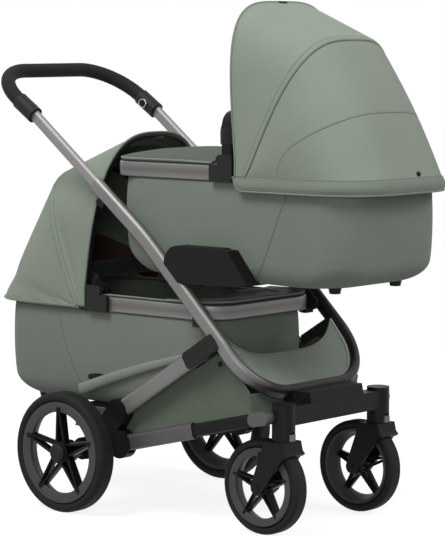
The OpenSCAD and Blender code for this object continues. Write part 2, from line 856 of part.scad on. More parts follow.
// The tub's outer form, or its hollow when it is drawn in by a wall
module tub_form(in = 0, lift = 0) {
  top = -rim_h + lift;
  base = tub_z + in;
  foot = tub_foot + in;
  head = cot_l - tub_head - in;
  half = tub_y - in;
  intersection() {
    translate([0, 0, base]) linear_extrude(top - base)
      cot_outline(tub_foot + in, tub_head + in, rim_y - half, tub_head_r, tub_foot_r);
    slab(-rim_y, rim_y) polygon([
      [foot, top], [foot, base + tub_foot_cut.y], [foot + tub_foot_cut.x, base],
      [head - tub_head_cut.x, base], [head - tub_head_knee.x, base + tub_head_knee.y],
      [head, base + tub_head_cut.y], [head, top]]);
    rotate([90, 0, 90]) linear_extrude(cot_l) polygon([
      [-half, top], [-half, base + tub_side_cut.y], [-half + tub_side_cut.x, base],
      [half - tub_side_cut.x, base], [half, base + tub_side_cut.y], [half, top]]);
  }
}

module tub() color(sage) difference() {
  tub_form();
  tub_form(tub_wall, 10);
}

module rim() color(frame_grey) translate([0, 0, -rim_h]) linear_extrude(rim_h) difference() {
  cot_outline();
  cot_outline(rim_t, rim_t, rim_t);
}

module mattress() color(sage) {
  in = tub_wall + 3;
  base = tub_z + in;
  half = tub_y - in;
  translate([0, 0, tub_wall + seat - in]) intersection() {
    tub_form(in);
    rotate([90, 0, 90]) linear_extrude(cot_l) polygon([for (i = [-8 : 8])
      [i / 8 * half, base + mattress_h - 10 * pow(i / 8, 4)], [half, base], [-half, base]]);
  }
}

// A crowned cover over the foot of a cot
module apron(l, crown) color(sage) {
  edge = 7;
  intersection() {
    translate([0, 0, seat]) linear_extrude(crown + edge) intersection() {
      cot_outline();
      translate([0, -rim_y]) square([l, cot_w]);
    }
    rotate([90, 0, 90]) translate([0, 0, -10]) linear_extrude(l + 20) polygon([for (i = [-10 : 10])
      [i / 10 * rim_y, edge + crown * (1 - pow(i / 10, 2))], [rim_y, 0], [-rim_y, 0]]);
    slab(-rim_y, rim_y) polygon([[0, 0], [0, edge + 4], [36, edge + crown * 0.7], [120, edge + crown],
      [l, edge + crown * 0.8], [l, 0]]);
  }
}

// Half of an arch's outline: a superellipse that stands on the hinge line, with its width along X
arch_steps = 18;
function arch_point(half, r, power, i) = let (a = 90 * i / arch_steps)
  [half * pow(cos(a), 2 / power), r * pow(sin(a), 2 / power)];

// An arch that stands on the hinge line. The power sets how square its shoulders are
module arch(half, r, power) {
  polygon([
    for (i = [0 : arch_steps]) arch_point(half, r, power, i),
    for (i = [arch_steps - 1 : -1 : 0]) let (p = arch_point(half, r, power, i)) [-p.x, p.y]]);
}

// A flat arch, t thick, that stands at an angle from the rear on the hinge line
module arch_plate(angle, half, r, t, power) {
  translate([hood_x, 0, pin_z]) rotate([0, 90 - angle, 0]) rotate([90, 0, 90])
    linear_extrude(t, center = true) arch(half, r, power);
}

// The stretched cloth between the bows, or its hollow, which is drawn in and reaches past the open edges
module hood_form(front, r, power, in, past) {
  half = cover_y - in;
  hull() {
    arch_plate(front, half, r - in, past, power);
    arch_plate(mid_bow, half, mid_r - in, 0.1, mid_power);
    translate([0, 0, seat]) linear_extrude(past, center = true) hood_outline(in, hood_x - past / 2);
  }
}

// The hood's outline from above, from a line across the cot to the head
module hood_outline(in, from) {
  intersection() {
    cot_outline(0, cot_l - hood_x - back_r + in, rim_y - cover_y + in);
    translate([from, -cot_w]) square([cot_l, 2 * cot_w]);
  }
}

module hood(front, r, power, skirt) color(sage) {
  difference() {
    hood_form(front, r, power, 0, 0.1);
    hood_form(front, r, power, cover_t, 4);
  }
  translate([0, 0, -skirt]) linear_extrude(skirt + skirt_up) difference() {
    hood_outline(-hem_out, hood_x - skirt_lap);
    hood_outline(cover_t - hem_out, hood_x - skirt_lap - 1);
  }
}

module bow(angle, half, r, power) color(plastic_black) {
  translate([hood_x, 0, pin_z]) rotate([0, 90 - angle, 0]) difference() {
    union() {
      rotate([90, 0, 90]) linear_extrude(bow_w, center = true) difference() {
        arch(half, r, power);
        arch(half - bow_t, r - bow_t, power);
      }
      both_sides() slab(half - bow_t, half) circle(d = 22);
    }
    rotate([90, 0, 0]) cylinder(d = cot_pin_d + 2 * run, h = cot_w + 40, center = true);
    translate([-bow_w, -half + bow_t, -30]) cube([2 * bow_w, 2 * (half - bow_t), 42]);
  }
}

// The housings on the rim that hold the hood's hinge pins and the carry handle's pins
module hood_clips() color(plastic_grey) both_sides() {
  start = hood_x + clip_front - clip_l;
  slab(clip_in, clip_out) {
    translate([start, -rim_h]) square([hood_x - clip_step - start, rim_h + 2]);
    intersection() {
      bar_outline([hood_x, pin_z - 2], [carry_x, pin_z - 2], 24);
      translate([start, -rim_h]) square([hood_x - clip_step - start, 2 * rim_h]);
    }
  }
  slab(clip_in, clip_thin) {
    translate([start, -rim_h]) square([clip_l - 4, rim_h + 2]);
    bar_outline([hood_x, pin_z - 2], [carry_x, pin_z - 2], 24);
  }
  cross_rod([hood_x, pin_z], cot_pin_d, mid_bow_y - bow_t, clip_thin);
  cross_rod([carry_x, pin_z], cot_pin_d, carry_y - carry_t, clip_out);
}

// A square-shouldered loop that stands on the hinge line
module loop_outline(half, h, corner) {
  translate([-half, 0]) square([2 * half, h - corner]);
  translate([-half + corner, 0]) square([2 * half - 2 * corner, h]);
  for (side = [-1, 1]) translate([side * (half - corner), h - corner]) circle(r = corner, $fn = 40);
}

// A bow-shaped handle that stands on the two clips
module carry_handle() color(plastic_black) {
  translate([carry_x, 0, pin_z]) difference() {
    union() {
      rotate([90, 0, 90]) linear_extrude(carry_w, center = true) difference() {
        loop_outline(carry_y - gap, carry_h, carry_corner);
        translate([0, -1]) loop_outline(carry_y - carry_t, carry_h - carry_t + 1, carry_corner - carry_t);
      }
      both_sides() slab(carry_y - carry_t, carry_y - gap) circle(d = carry_w);
    }
    rotate([90, 0, 0]) cylinder(d = cot_pin_d + 2 * run, h = cot_w, center = true);
  }
}

module carry_handle_leant(lean) {
  translate([carry_x, 0, pin_z]) rotate([0, lean, 0]) translate([-carry_x, 0, -pin_z]) carry_handle();
}

feet_d = 32;
feet_in = 150;
feet_out = 100;
feet_y = rim_y - 80;

module cot_feet() color(plastic_black) {
  for (x = [feet_in, cot_l - feet_out], y = [-feet_y, feet_y]) translate([x, y, tub_z - foot_h])
    cylinder(d1 = feet_d - 8, d2 = feet_d, h = foot_h);
}

module upper_tub() upper_cot() tub();
module upper_rim() upper_cot() rim();
module upper_apron() upper_cot() apron(upper_apron_l, apron_crown);
module upper_mattress() upper_cot() mattress();
module upper_hood() upper_cot() hood(upper_bow, upper_r, upper_power, upper_skirt);
module upper_front_bow() upper_cot() bow(upper_bow, front_bow_y, upper_r - cover_t - 4, upper_power);
module upper_mid_bow() upper_cot() bow(mid_bow, mid_bow_y, mid_r - cover_t - 6, mid_power);
module upper_hood_clips() upper_cot() hood_clips();
module upper_carry_handle() upper_cot() carry_handle_leant(0);
module upper_feet() upper_cot() cot_feet();
module lower_tub() lower_cot() tub();
module lower_rim() lower_cot() rim();
module lower_apron() lower_cot() apron(lower_apron_l, lower_crown);
module lower_mattress() lower_cot() mattress();
module lower_hood() lower_cot() hood(lower_bow, lower_r, lower_power, lower_skirt);
module lower_front_bow() lower_cot() bow(lower_bow, front_bow_y, lower_r - cover_t - 4, lower_power);
module lower_mid_bow() lower_cot() bow(mid_bow, mid_bow_y, mid_r - cover_t - 6, mid_power);
module lower_hood_clips() lower_cot() hood_clips();
module lower_carry_handle() lower_cot() carry_handle_leant(lower_carry_lean);
module lower_feet() lower_cot() cot_feet();

main_frame();
handle_tube();
handle_grip();
grip_sleeves();
handle_button(1);  // handle_button_left
handle_button(-1);  // handle_button_right
fold_lever(1);  // fold_lever_left
fold_lever(-1);  // fold_lever_right
leg_brackets();
rear_legs();
rear_blocks();
rear_axle();
rear_tyre(1);  // rear_tyre_left
rear_tyre(-1);  // rear_tyre_right
rear_rim(1);  // rear_rim_left
rear_rim(-1);  // rear_rim_right
hub_cap(1);  // hub_cap_left
hub_cap(-1);  // hub_cap_right
brake_pedal();
rail_tubes();
rail_rods();
rail_brackets();
front_axle();
fork(1);  // fork_left
fork(-1);  // fork_right
fork_pin(1);  // fork_pin_left
fork_pin(-1);  // fork_pin_right
front_tyre(1);  // front_tyre_left
front_tyre(-1);  // front_tyre_right
front_rim(1);  // front_rim_left
front_rim(-1);  // front_rim_right
swivel_lock(1);  // swivel_lock_left
swivel_lock(-1);  // swivel_lock_right
basket();
footwell_panel();
upper_adapters();
lower_adapters();
upper_tub();
upper_rim();
upper_apron();
upper_mattress();
upper_hood();
upper_front_bow();
upper_mid_bow();
upper_hood_clips();
upper_carry_handle();
upper_feet();
lower_tub();
lower_rim();
lower_apron();
lower_mattress();
lower_hood();
lower_front_bow();
lower_mid_bow();
lower_hood_clips();
lower_carry_handle();
lower_feet();
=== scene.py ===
# %% [markdown]
# # A twin pram, dressed for its photograph
# The pram comes as a imported frame: every tube, wheel, pin and bracket is already a solid of the right
# size, in metres. This lesson gives those solids their finishes, and sews what CAD can only block out:
# the hoods, the tub covers, the aprons, the basket and the footwell sling. We start by loading the frame.

# %% Load the frame
import json
import math

import bpy
import numpy as np
from mathutils import Matrix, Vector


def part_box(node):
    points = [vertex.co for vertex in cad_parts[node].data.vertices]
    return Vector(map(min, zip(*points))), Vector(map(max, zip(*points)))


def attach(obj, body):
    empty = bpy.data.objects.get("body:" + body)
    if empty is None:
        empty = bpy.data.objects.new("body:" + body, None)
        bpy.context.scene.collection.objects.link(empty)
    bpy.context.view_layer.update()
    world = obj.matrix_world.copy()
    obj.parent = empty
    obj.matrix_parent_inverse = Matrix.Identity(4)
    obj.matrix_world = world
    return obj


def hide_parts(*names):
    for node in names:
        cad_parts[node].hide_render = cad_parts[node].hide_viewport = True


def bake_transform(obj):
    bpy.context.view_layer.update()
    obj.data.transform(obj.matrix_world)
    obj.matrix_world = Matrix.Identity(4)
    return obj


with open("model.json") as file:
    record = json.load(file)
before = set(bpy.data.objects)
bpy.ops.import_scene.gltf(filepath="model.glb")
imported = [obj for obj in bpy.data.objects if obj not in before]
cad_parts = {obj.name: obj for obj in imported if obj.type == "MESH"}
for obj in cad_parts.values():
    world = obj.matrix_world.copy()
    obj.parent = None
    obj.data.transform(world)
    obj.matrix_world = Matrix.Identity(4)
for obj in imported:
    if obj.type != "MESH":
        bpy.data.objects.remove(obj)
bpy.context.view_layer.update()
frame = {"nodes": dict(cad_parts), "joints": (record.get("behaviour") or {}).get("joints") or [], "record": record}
nodes = frame["nodes"]
joints = {joint["name"]: joint for joint in frame["joints"]}
SIDES = {"left": 1, "right": -1}
print("solids:", len(nodes), "joints:", len(joints))

# %% [markdown]
# ## Camera
# The camera stands where the photographer stood: a long lens at about the handle's height, off the
# pram's right front. Its place was worked out from the wheels and from tubes that run parallel. A camera
# set by eye would give a likeness, but only a measured one lets this picture be laid over the
# photograph.

# %% Camera
PHOTO_W, PHOTO_H = 445, 536
FOCAL_PX = 2415
EYE = np.array([3.666, -4.238, 1.116])
TARGET = np.array([0.0265, 0.0, 0.5622])
SENSOR = 36.0


def add_to_scene(name, data):
    """A new object that holds the data, at the origin and unturned."""
    thing = bpy.data.objects.new(name, data)
    bpy.context.scene.collection.objects.link(thing)
    return thing


def look_at(thing, eye, target):
    """Puts an object at eye and turns its -Z axis to target, with its Y axis up."""
    back = (eye - target) / np.linalg.norm(eye - target)
    right = np.cross([0, 0, 1], back)
    right /= np.linalg.norm(right)
    matrix = np.eye(4)
    matrix[:3] = np.column_stack([right, np.cross(back, right), back, eye])
    thing.matrix_world = Matrix(matrix)


lens = bpy.data.cameras.new("photo_camera")
lens.lens = SENSOR * FOCAL_PX / max(PHOTO_W, PHOTO_H)
lens.sensor_width = SENSOR
camera = add_to_scene("photo_camera", lens)
look_at(camera, EYE, TARGET)
bpy.context.scene.camera = camera
bpy.context.scene.view_settings.view_transform = "Standard"
print("lens:", round(lens.lens, 1), "mm")

# %% [markdown]
# ## A small language for finishes
# A finish is a graph of nodes. Wrapping a socket in a class with arithmetic lets us write a weave or a
# seam the way we would write it on paper, and one `node` method makes every node that isn't plain
# arithmetic.

# %% Numbers made by nodes


class Value:
    """A number that a node makes. Arithmetic on it adds Math nodes."""

    def __init__(self, finish, socket):
        self.finish, self.socket = finish, socket

    def math(self, operation, *others):
        """A Math node on this value and any others."""
        inputs = dict(enumerate((self, *others)))
        return self.finish.node("ShaderNodeMath", {"operation": operation}, inputs)

    def __add__(self, other):
        return self.math("ADD", other)

    def __sub__(self, other):
        return self.math("SUBTRACT", other)

    def __rsub__(self, other):
        return self.finish.node("ShaderNodeMath", {"operation": "SUBTRACT"}, {0: other, 1: self})

    def __mul__(self, other):
        return self.math("MULTIPLY", other)

    def __truediv__(self, other):
        return self.math("DIVIDE", other)

    def __pow__(self, other):
        return self.math("POWER", other)

    def __abs__(self):
        return self.math("ABSOLUTE")

    __radd__, __rmul__ = __add__, __mul__

    def other(self, output):
        """Another output of the node that made this value."""
        return Value(self.finish, self.socket.node.outputs[output])

    def clamp(self):
        """The value itself, kept between 0 and 1."""
        return self.math("MAXIMUM", 0).math("MINIMUM", 1)

    def wave(self, pitch):
        """Runs from 0 to 1 and back once in each pitch."""
        return (self * (2 * math.pi / pitch)).math("SINE") * 0.5 + 0.5

    def near(self, width):
        """1 where the value is 0, falling to 0 at width on both sides."""
        return (1 - abs(self) / width).math("MAXIMUM", 0)


# %% Finishes


class Finish:
    """One material, with its shader and the nodes behind it."""

    def __init__(self, name, colour, roughness, **sockets):
        self.material = bpy.data.materials.new(name)
        self.material.use_nodes = True
        self.tree = self.material.node_tree
        self.shader = self.tree.nodes["Principled BSDF"]
        self.shader.inputs["Base Color"].default_value = (*colour, 1)
        self.shader.inputs["Roughness"].default_value = roughness
        for socket, value in sockets.items():
            self.shader.inputs[socket.replace("_", " ")].default_value = value
        self.material.diffuse_color = (*colour, 1)

    def node(self, kind, settings=None, sockets=None, output=0):
        """Adds a node: its settings first, then a value or a link for each named or numbered socket."""
        made = self.tree.nodes.new(kind)
        for key, value in (settings or {}).items():
            setattr(made, key, value)
        for key, value in (sockets or {}).items():
            if isinstance(value, Value):
                self.tree.links.new(value.socket, made.inputs[key])
            else:
                made.inputs[key].default_value = value
        return Value(self, made.outputs[output])

    def feed(self, socket, value):
        """Links a value to a socket of the shader."""
        self.tree.links.new(value.socket, self.shader.inputs[socket])

    def place(self, kind="Object"):
        """Where a point of the surface lies, in the pram's frame or on the piece's flat pattern."""
        return self.node("ShaderNodeTexCoord", output=kind)

    def uv(self):
        """The piece's own flat pattern: metres along the cloth and metres down it."""
        along = self.node("ShaderNodeSeparateXYZ", sockets={0: self.place("UV")})
        return along, along.other(1)

    def noise(self, scale, detail=3.0, stretch=(1, 1, 1)):
        """Cloudy values from 0 to 1, with about scale clouds to a metre."""
        mapped = self.node("ShaderNodeMapping", sockets={"Vector": self.place(), "Scale": stretch})
        return self.node("ShaderNodeTexNoise", sockets={"Vector": mapped, "Scale": scale, "Detail": detail})

    def mix(self, mask, first, second):
        """A colour that goes from the first to the second as mask goes from 0 to 1."""
        return self.node("ShaderNodeMix", {"data_type": "RGBA"}, {0: mask, 6: first, 7: second}, output=2)

    def tint(self, mask, dark, light):
        """A mix of two plain colours."""
        return self.mix(mask, (*dark, 1), (*light, 1))

    def shade(self, colour, mask, other):
        """A colour made by nodes, covered by a plain one where mask is 1."""
        return self.mix(mask, colour, (*other, 1))

    def bump(self, height, depth, strength=1.0):
        """Tilts the normal by a height, where a height of 1 stands for depth in metres."""
        sockets = {"Strength": strength, "Distance": depth, "Height": height}
        self.feed("Normal", self.node("ShaderNodeBump", None, sockets))


print("finishes are ready")

# %% [markdown]
# ## Cloth
# Sage cloth covers most of the pram. It is a plain weave of two close greens, so it looks even from afar
# and dusty close up; along its seams the cloth dips, with painted shade in the dip, and two rows of
# stitches run. Cloth pieces carry a flat pattern in metres as their UV map, so the weave keeps its size
# on every piece. A picture of cloth would do until one comes close; nodes need no file and stay sharp.

# %% Cloth
SAGE, SAGE_LIGHT = (0.152, 0.180, 0.147), (0.240, 0.274, 0.231)
SEAM_SHADE_AND_THREAD = (0.060, 0.074, 0.058)
OLIVE, OLIVE_LIGHT = (0.088, 0.108, 0.082), (0.120, 0.144, 0.111)
LINING, LINING_LIGHT = (0.060, 0.058, 0.043), (0.100, 0.094, 0.074)
WEBBING, WEBBING_LIGHT = (0.007, 0.007, 0.007), (0.016, 0.016, 0.015)
THREAD = 0.0011
STITCH, STITCH_THICK, STITCH_OFF = 0.0042, 0.0007, 0.0045
SEAM_WIDE, SEAM_PULL = 0.0016, 0.006
CLOTH_DEPTH = 0.0012


def stitches(gap, across, down):
    """A dashed row along the line where gap is 0."""
    return gap.near(STITCH_THICK) * (across + down).wave(STITCH).math("GREATER_THAN", 0.3)


def line_at(depth):
    """A line along the cloth, at a depth below its first edge."""
    return lambda across, down: down - depth


def cloth(name, dark, light, seams=(), hems=(), roughness=0.85):
    """Woven cloth: it is lighter where threads cross alike. A seam is a function of the flat pattern's
    two lengths that is 0 along its line: the cloth dips there, with painted shade in the dip, and is
    stitched on both sides. A hem is the same with one row of stitches and no dip."""
    finish = Finish(name, light, roughness, Sheen_Weight=0.12, Sheen_Roughness=0.5, Specular_IOR_Level=0.15)
    across, down = finish.uv()
    weft, warp = across.wave(THREAD), down.wave(THREAD)
    weave = weft * warp + (1 - weft) * (1 - warp)
    yarn = finish.noise(900, 2, (1, 1, 0.2)) * 0.35 + finish.noise(7, 2) * 0.4
    colour = finish.tint(weave * 0.25 + yarn, dark, light)
    height = weave * 0.10 + finish.noise(60, 4) * 0.35
    for line in seams:
        gap = line(across, down)
        dip = gap.near(SEAM_WIDE)
        stitch = stitches(abs(gap) - STITCH_OFF, across, down)
        # Painted shade: the seam's dip is darkened; the stitches take the thread's own darker colour.
        colour = finish.shade(colour, dip * 0.85, SEAM_SHADE_AND_THREAD)
        colour = finish.shade(colour, stitch * 0.35, SEAM_SHADE_AND_THREAD)
        height = height - dip * 2.2 - gap.near(SEAM_PULL) * 0.8 + stitch * 0.4
    for line in hems:
        stitch = stitches(line(across, down), across, down)
        colour = finish.shade(colour, stitch * 0.45, SEAM_SHADE_AND_THREAD)
        height = height - stitch * 0.5
    finish.feed("Base Color", colour)
    finish.bump(height, CLOTH_DEPTH, 0.55)
    return finish.material


plain_sage = cloth("sage_cloth", SAGE, SAGE_LIGHT)
lining = cloth("dark_lining", LINING, LINING_LIGHT)
olive_cloth = cloth("basket_cloth", OLIVE, OLIVE_LIGHT)
black_webbing = cloth("black_webbing", WEBBING, WEBBING_LIGHT)
print("cloths:", plain_sage.name, lining.name, olive_cloth.name, black_webbing.name)

# %% [markdown]
# ## Metals and plastics
# These are the solids' own finishes. The tubes are anodised, so their grain is stretched along the pram.
# The plastics have the fine spark-eroded grain of a mould, and a little dust that roughens them
# unevenly. In the photograph the front loop is nearly black, so its tube carries painted shade: a mask
# darkens its colour there, in place of the dark reflection that the tube shows.
# One flat colour each would be quicker, but real metal and plastic are never that even.

# %% Metals and plastics
GREY, GREY_LIGHT = (0.158, 0.154, 0.151), (0.222, 0.217, 0.213)
LOOP_SHADE_GREY = (0.018, 0.016, 0.015)
GRAIN_STRETCH = (0.12, 1, 1)
GRAIN_DEPTH = 0.00005


def anodised(name, dark, light, roughness, shade_mask=None):
    """Metal with a stretched grain under soft clouds; a dark grey of painted shade covers it where the shade mask
    is 1.
    """
    finish = Finish(name, light, roughness, Metallic=0.7, Specular_IOR_Level=0.3)
    grain = finish.noise(420, 4, GRAIN_STRETCH)
    cloud = finish.noise(9, 3)
    colour = finish.tint(grain * 0.4 + cloud * 0.6, dark, light)
    finish.feed("Base Color", finish.shade(colour, shade_mask(finish), LOOP_SHADE_GREY) if shade_mask else colour)
    finish.feed("Roughness", cloud * 0.12 + (roughness - 0.06))
    finish.bump(grain, GRAIN_DEPTH, 0.35)
    return finish.material


def moulded(name, dark, light, roughness, grain_size=1400, depth=0.00012):
    """Plastic, rubber or foam: a fine even grain, and dust in patches that makes it lighter and rougher."""
    finish = Finish(name, light, roughness, Specular_IOR_Level=0.12)
    grain = finish.noise(grain_size, 3)
    dust = finish.noise(16, 4)
    finish.feed("Base Color", finish.tint(dust * 0.7 + grain * 0.3, dark, light))
    finish.feed("Roughness", dust * 0.16 + (roughness - 0.08))
    finish.bump(grain, depth, 0.5)
    return finish.material


def neutral(value):
    """A colour without a hue."""
    return value, value, value


frame_grey = anodised("frame_grey", GREY, GREY_LIGHT, 0.48)
silver = anodised("button_silver", neutral(0.42), neutral(0.52), 0.3)
steel = anodised("axle_steel", neutral(0.40), neutral(0.50), 0.28)
black_plastic = moulded("black_plastic", neutral(0.004), neutral(0.009), 0.46)
grey_plastic = moulded("grey_plastic", neutral(0.013), neutral(0.022), 0.5)
light_plastic = moulded("light_plastic", neutral(0.15), neutral(0.21), 0.5)
wheel_grey = moulded("wheel_grey", (0.052, 0.052, 0.053), (0.078, 0.078, 0.079), 0.48)
spoke_black = moulded("spoke_black", neutral(0.0025), neutral(0.005), 0.4)
rubber = moulded("tyre_rubber", neutral(0.010), neutral(0.018), 0.66, 700, 0.0002)
foam = moulded("grip_foam", neutral(0.010), neutral(0.018), 0.72, 1000, 0.0004)
print("metals and plastics:", frame_grey.name, black_plastic.name, rubber.name, foam.name)

# %% Finishes of the solids
# Painted shade: the front loop and the far leg are darkened in colour, in place of the dark reflection their tubes
# show.
LOOP_X, LOOP_FADE = 0.05, 0.10
NEAR_Y, NEAR_FADE = -0.222, 0.070
LOOP_SHADE_STRENGTH = 0.95


def front_loop_shade(finish):
    """The mask of painted shade: one rise along X times one along Y, near 1 on the front loop and far leg, 0 on
    the near leg.
    """
    forward = finish.node("ShaderNodeSeparateXYZ", sockets={0: finish.place()})
    ahead = ((forward - LOOP_X) / LOOP_FADE).clamp()
    across = ((forward.other(1) - NEAR_Y) / NEAR_FADE).clamp()
    return ahead * across * LOOP_SHADE_STRENGTH


loop_grey = anodised("loop_grey", GREY, GREY_LIGHT, 0.42, front_loop_shade)
handle_grey = anodised("handle_grey", (0.205, 0.202, 0.200), (0.290, 0.286, 0.284), 0.55)
# Painted shade: the rails and their brackets take a darker copy of the frame's grey, for the shade low under the
# pram.
rail_grey = anodised("rail_grey", (0.082, 0.080, 0.078), (0.118, 0.115, 0.113), 0.5)
FINISH_OF_SLOT = {
    "frame_grey": frame_grey, "plastic_black": black_plastic, "plastic_grey": grey_plastic, "tyre": rubber,
    "rim_grey": wheel_grey, "sage_cloth": plain_sage, "dark_cloth": olive_cloth, "lining": lining,
    "button_silver": silver, "grip_foam": foam, "steel": steel,
}
FINISH_OF_NODE = {
    "main_frame": loop_grey, "handle_tube": handle_grey, "rail_tubes": rail_grey, "rail_brackets": rail_grey,
    "rail_rods": black_plastic,
}
for word in SIDES:
    FINISH_OF_NODE["handle_button_" + word] = black_plastic
    FINISH_OF_NODE["fork_pin_" + word] = black_plastic
    FINISH_OF_NODE["swivel_lock_" + word] = light_plastic
for part in frame["record"]["subparts"]:
    solid = nodes[part["node"]].data
    solid.materials.clear()
    solid.materials.append(FINISH_OF_NODE.get(part["node"], FINISH_OF_SLOT[part["material_slot"]]))

# %% [markdown]
# ## Studio
# One large soft lamp hangs high to the camera's left and one high to its right, so that sloping cloth is
# brightest and upright walls fall off, and an even surround fills the rest. A weak lamp by the camera
# reaches into the hoods. To the camera, floor and surround are white; to the pram the floor is a grey
# that sends little light back up, which keeps the undersides as dark as they are in the photograph. A
# picture of a studio could light the pram too; three lamps are easier to place.

# %% Floor and surround
FLOOR_HALF, FLOOR_DROP = 2.6, 0.0005
SURROUND = 0.34
WHITE = (1, 1, 1, 1)


def seen_by_eye(tree):
    """1 for rays from the camera and for mirrored or bent ones, else 0."""
    rays = tree.node("ShaderNodeLightPath")
    mirrored, bent = rays.other("Is Glossy Ray"), rays.other("Is Transmission Ray")
    return rays.math("MAXIMUM", mirrored).math("MAXIMUM", bent)


paper = Finish("studio_paper", (0.26, 0.26, 0.26), 0.95, Specular_IOR_Level=0.0)
plain = Value(paper, paper.shader.outputs[0])
glow = paper.node("ShaderNodeEmission", None, {"Color": WHITE, "Strength": 0.86})
bright = paper.node("ShaderNodeAddShader", None, {0: plain, 1: glow})
shown = paper.node("ShaderNodeMixShader", None, {0: seen_by_eye(paper), 1: plain, 2: bright})
paper.tree.links.new(shown.socket, paper.tree.nodes["Material Output"].inputs["Surface"])

floor_mesh = bpy.data.meshes.new("studio_floor")
floor_corners = np.array([(-1, -1, 0), (1, -1, 0), (1, 1, 0), (-1, 1, 0)]) * FLOOR_HALF - [0, 0, FLOOR_DROP]
floor_mesh.from_pydata(floor_corners.tolist(), [], [(0, 1, 2, 3)])
floor_mesh.materials.append(paper.material)
floor = add_to_scene("studio_floor", floor_mesh)


class Surround(Finish):
    """The world's own tree, with the same way of making nodes."""

    def __init__(self, name):
        self.world = bpy.data.worlds.new(name)
        self.world.use_nodes = True
        self.tree = self.world.node_tree


studio = Surround("studio_world")
fill = studio.node("ShaderNodeBackground", None, {"Color": WHITE, "Strength": SURROUND})
white = studio.node("ShaderNodeBackground", None, {"Color": WHITE, "Strength": 1.0})
mixed = studio.node("ShaderNodeMixShader", None, {0: seen_by_eye(studio), 1: fill, 2: white})
studio.tree.links.new(mixed.socket, studio.tree.nodes["World Output"].inputs["Surface"])
bpy.context.scene.world = studio.world
print("floor:", 2 * FLOOR_HALF, "m wide")

# %% Lamps
LIT = np.array([0, 0, 0.6])


def soft_lamp(name, eye, size, power):
    """A round lamp at eye that faces the middle of the pram."""
    lamp = bpy.data.lights.new(name, "AREA")
    lamp.shape, lamp.size, lamp.energy = "DISK", size, power
    look_at(add_to_scene(name, lamp), np.array(eye), LIT)


soft_lamp("key_lamp", (-0.5, -2.9, 4.8), 2.6, 195)
soft_lamp("side_lamp", (4.2, 1.2, 4.0), 2.6, 120)
soft_lamp("eye_lamp", EYE + [-0.3, -0.2, 0.3], 1.2, 60)
print("lamps:", [light.name for light in bpy.data.lights])

# %% [markdown]
# ## Surfaces from grids
# Every sewn piece below is a grid of points worked out as whole arrays. `surface` joins one or more
# grids into quads, gives them a flat pattern and a body to ride on, and turns the faces outwards. `tube`
# carries a circle along a path, for bindings and rolls, and `resample` spaces points evenly along a
# path. Such pieces could be pushed into shape by hand, but a formula can be measured and changed by one
# number.

# %% Paths


def unit(vectors):
    """Vectors made 1 long: each is divided by its own length."""
    return vectors / np.linalg.norm(vectors, axis=-1, keepdims=True)


def path_lengths(path):
    """How far along a path each point lies, in metres."""
    return np.concatenate([[0], np.cumsum(np.linalg.norm(np.diff(path, axis=0), axis=1))])


def resample(path, count):
    """Points spaced evenly along a path by its length."""
    where = path_lengths(path)
    at = np.linspace(0, where[-1], count)
    return np.stack([np.interp(at, where, path[:, k]) for k in range(path.shape[1])], -1)


def rounded(corners, radii, steps=20):
    """A path through corners, where an arc of the given radius touches both sides of each inner corner."""
    corners = [np.array(corner, float) for corner in corners]
    path = [corners[0][None]]
    for before, corner, after, radius in zip(corners, corners[1:], corners[2:], radii):
        one = (before - corner) / np.linalg.norm(before - corner)
        two = (after - corner) / np.linalg.norm(after - corner)
        half = math.acos(np.clip(one @ two, -1, 1)) / 2
        centre = corner + (one + two) / np.linalg.norm(one + two) * radius / math.sin(half)
        reach = radius / math.tan(half)
        start, end = corner + one * reach - centre, corner + two * reach - centre
        turn = math.pi - 2 * half
        k = np.linspace(0, 1, steps)[:, None]
        path.append(centre + (np.sin((1 - k) * turn) * start + np.sin(k * turn) * end) / math.sin(turn))
    path.append(corners[-1][None])
    return np.concatenate(path)


def smoothstep(low, high, x):
    """0 at low and beyond it, 1 at high and beyond it, and a smooth change between them."""
    k = np.clip((x - low) / (high - low), 0, 1)
    return k * k * (3 - 2 * k)


def lerp(a, b, k):
    """Rows that go from a to b as k goes from 0 to 1."""
    return a[None] + (b - a)[None] * np.asarray(k).reshape(-1, *[1] * a.ndim)


print("a path spaced evenly:", resample(np.array([[0.0], [1.0], [4.0]]), 5).ravel())

# %% Grids


def soften(rows, width):
    """Each row averaged with its neighbours, which rounds a crease; the first and last rows stay."""
    first, last = 2 * rows[:1] - rows[width:0:-1], 2 * rows[-1:] - rows[-2 : -width - 2 : -1]
    padded = np.concatenate([first, rows, last])
    return np.mean([padded[k : k + len(rows)] for k in range(2 * width + 1)], axis=0)


def outward_normals(points, inside):
    """The unit normal at each point of a grid, from differences along its sides, away from inside."""
    normal = np.cross(np.gradient(points, axis=0), np.gradient(points, axis=1))
    normal /= np.maximum(np.linalg.norm(normal, axis=-1, keepdims=True), 1e-12)
    return normal * np.sign(np.sum(normal * (points - inside), axis=-1, keepdims=True))


def lengths(points, axis):
    """How far along the grid each row or column lies, in metres, by the mean of its steps."""
    step = np.linalg.norm(np.diff(points, axis=axis), axis=-1).mean(axis=1 - axis)
    return np.concatenate([[0], np.cumsum(step)])


def grid_size(points):
    """The two side lengths of a grid, in metres: along it and down it."""
    return float(lengths(points, 1)[-1]), float(lengths(points, 0)[-1])


def pattern(points):
    """A flat pattern for a grid: metres along it and metres down it."""
    return np.stack(np.meshgrid(lengths(points, 1), lengths(points, 0)), -1)


def quads_of(rows, columns, first):
    """The four corners of every cell of a grid whose first point has the given number."""
    i = first + np.arange(rows - 1)[:, None] * columns
    j = np.arange(columns - 1)[None]
    return np.stack([i + j, i + columns + j, i + columns + j + 1, i + j + 1], -1).reshape(-1, 4)


print("cells of a grid of 3 x 4 points:", len(quads_of(3, 4, 0)))

# %% Pieces from grids
SEAM_GAP = 1e-5


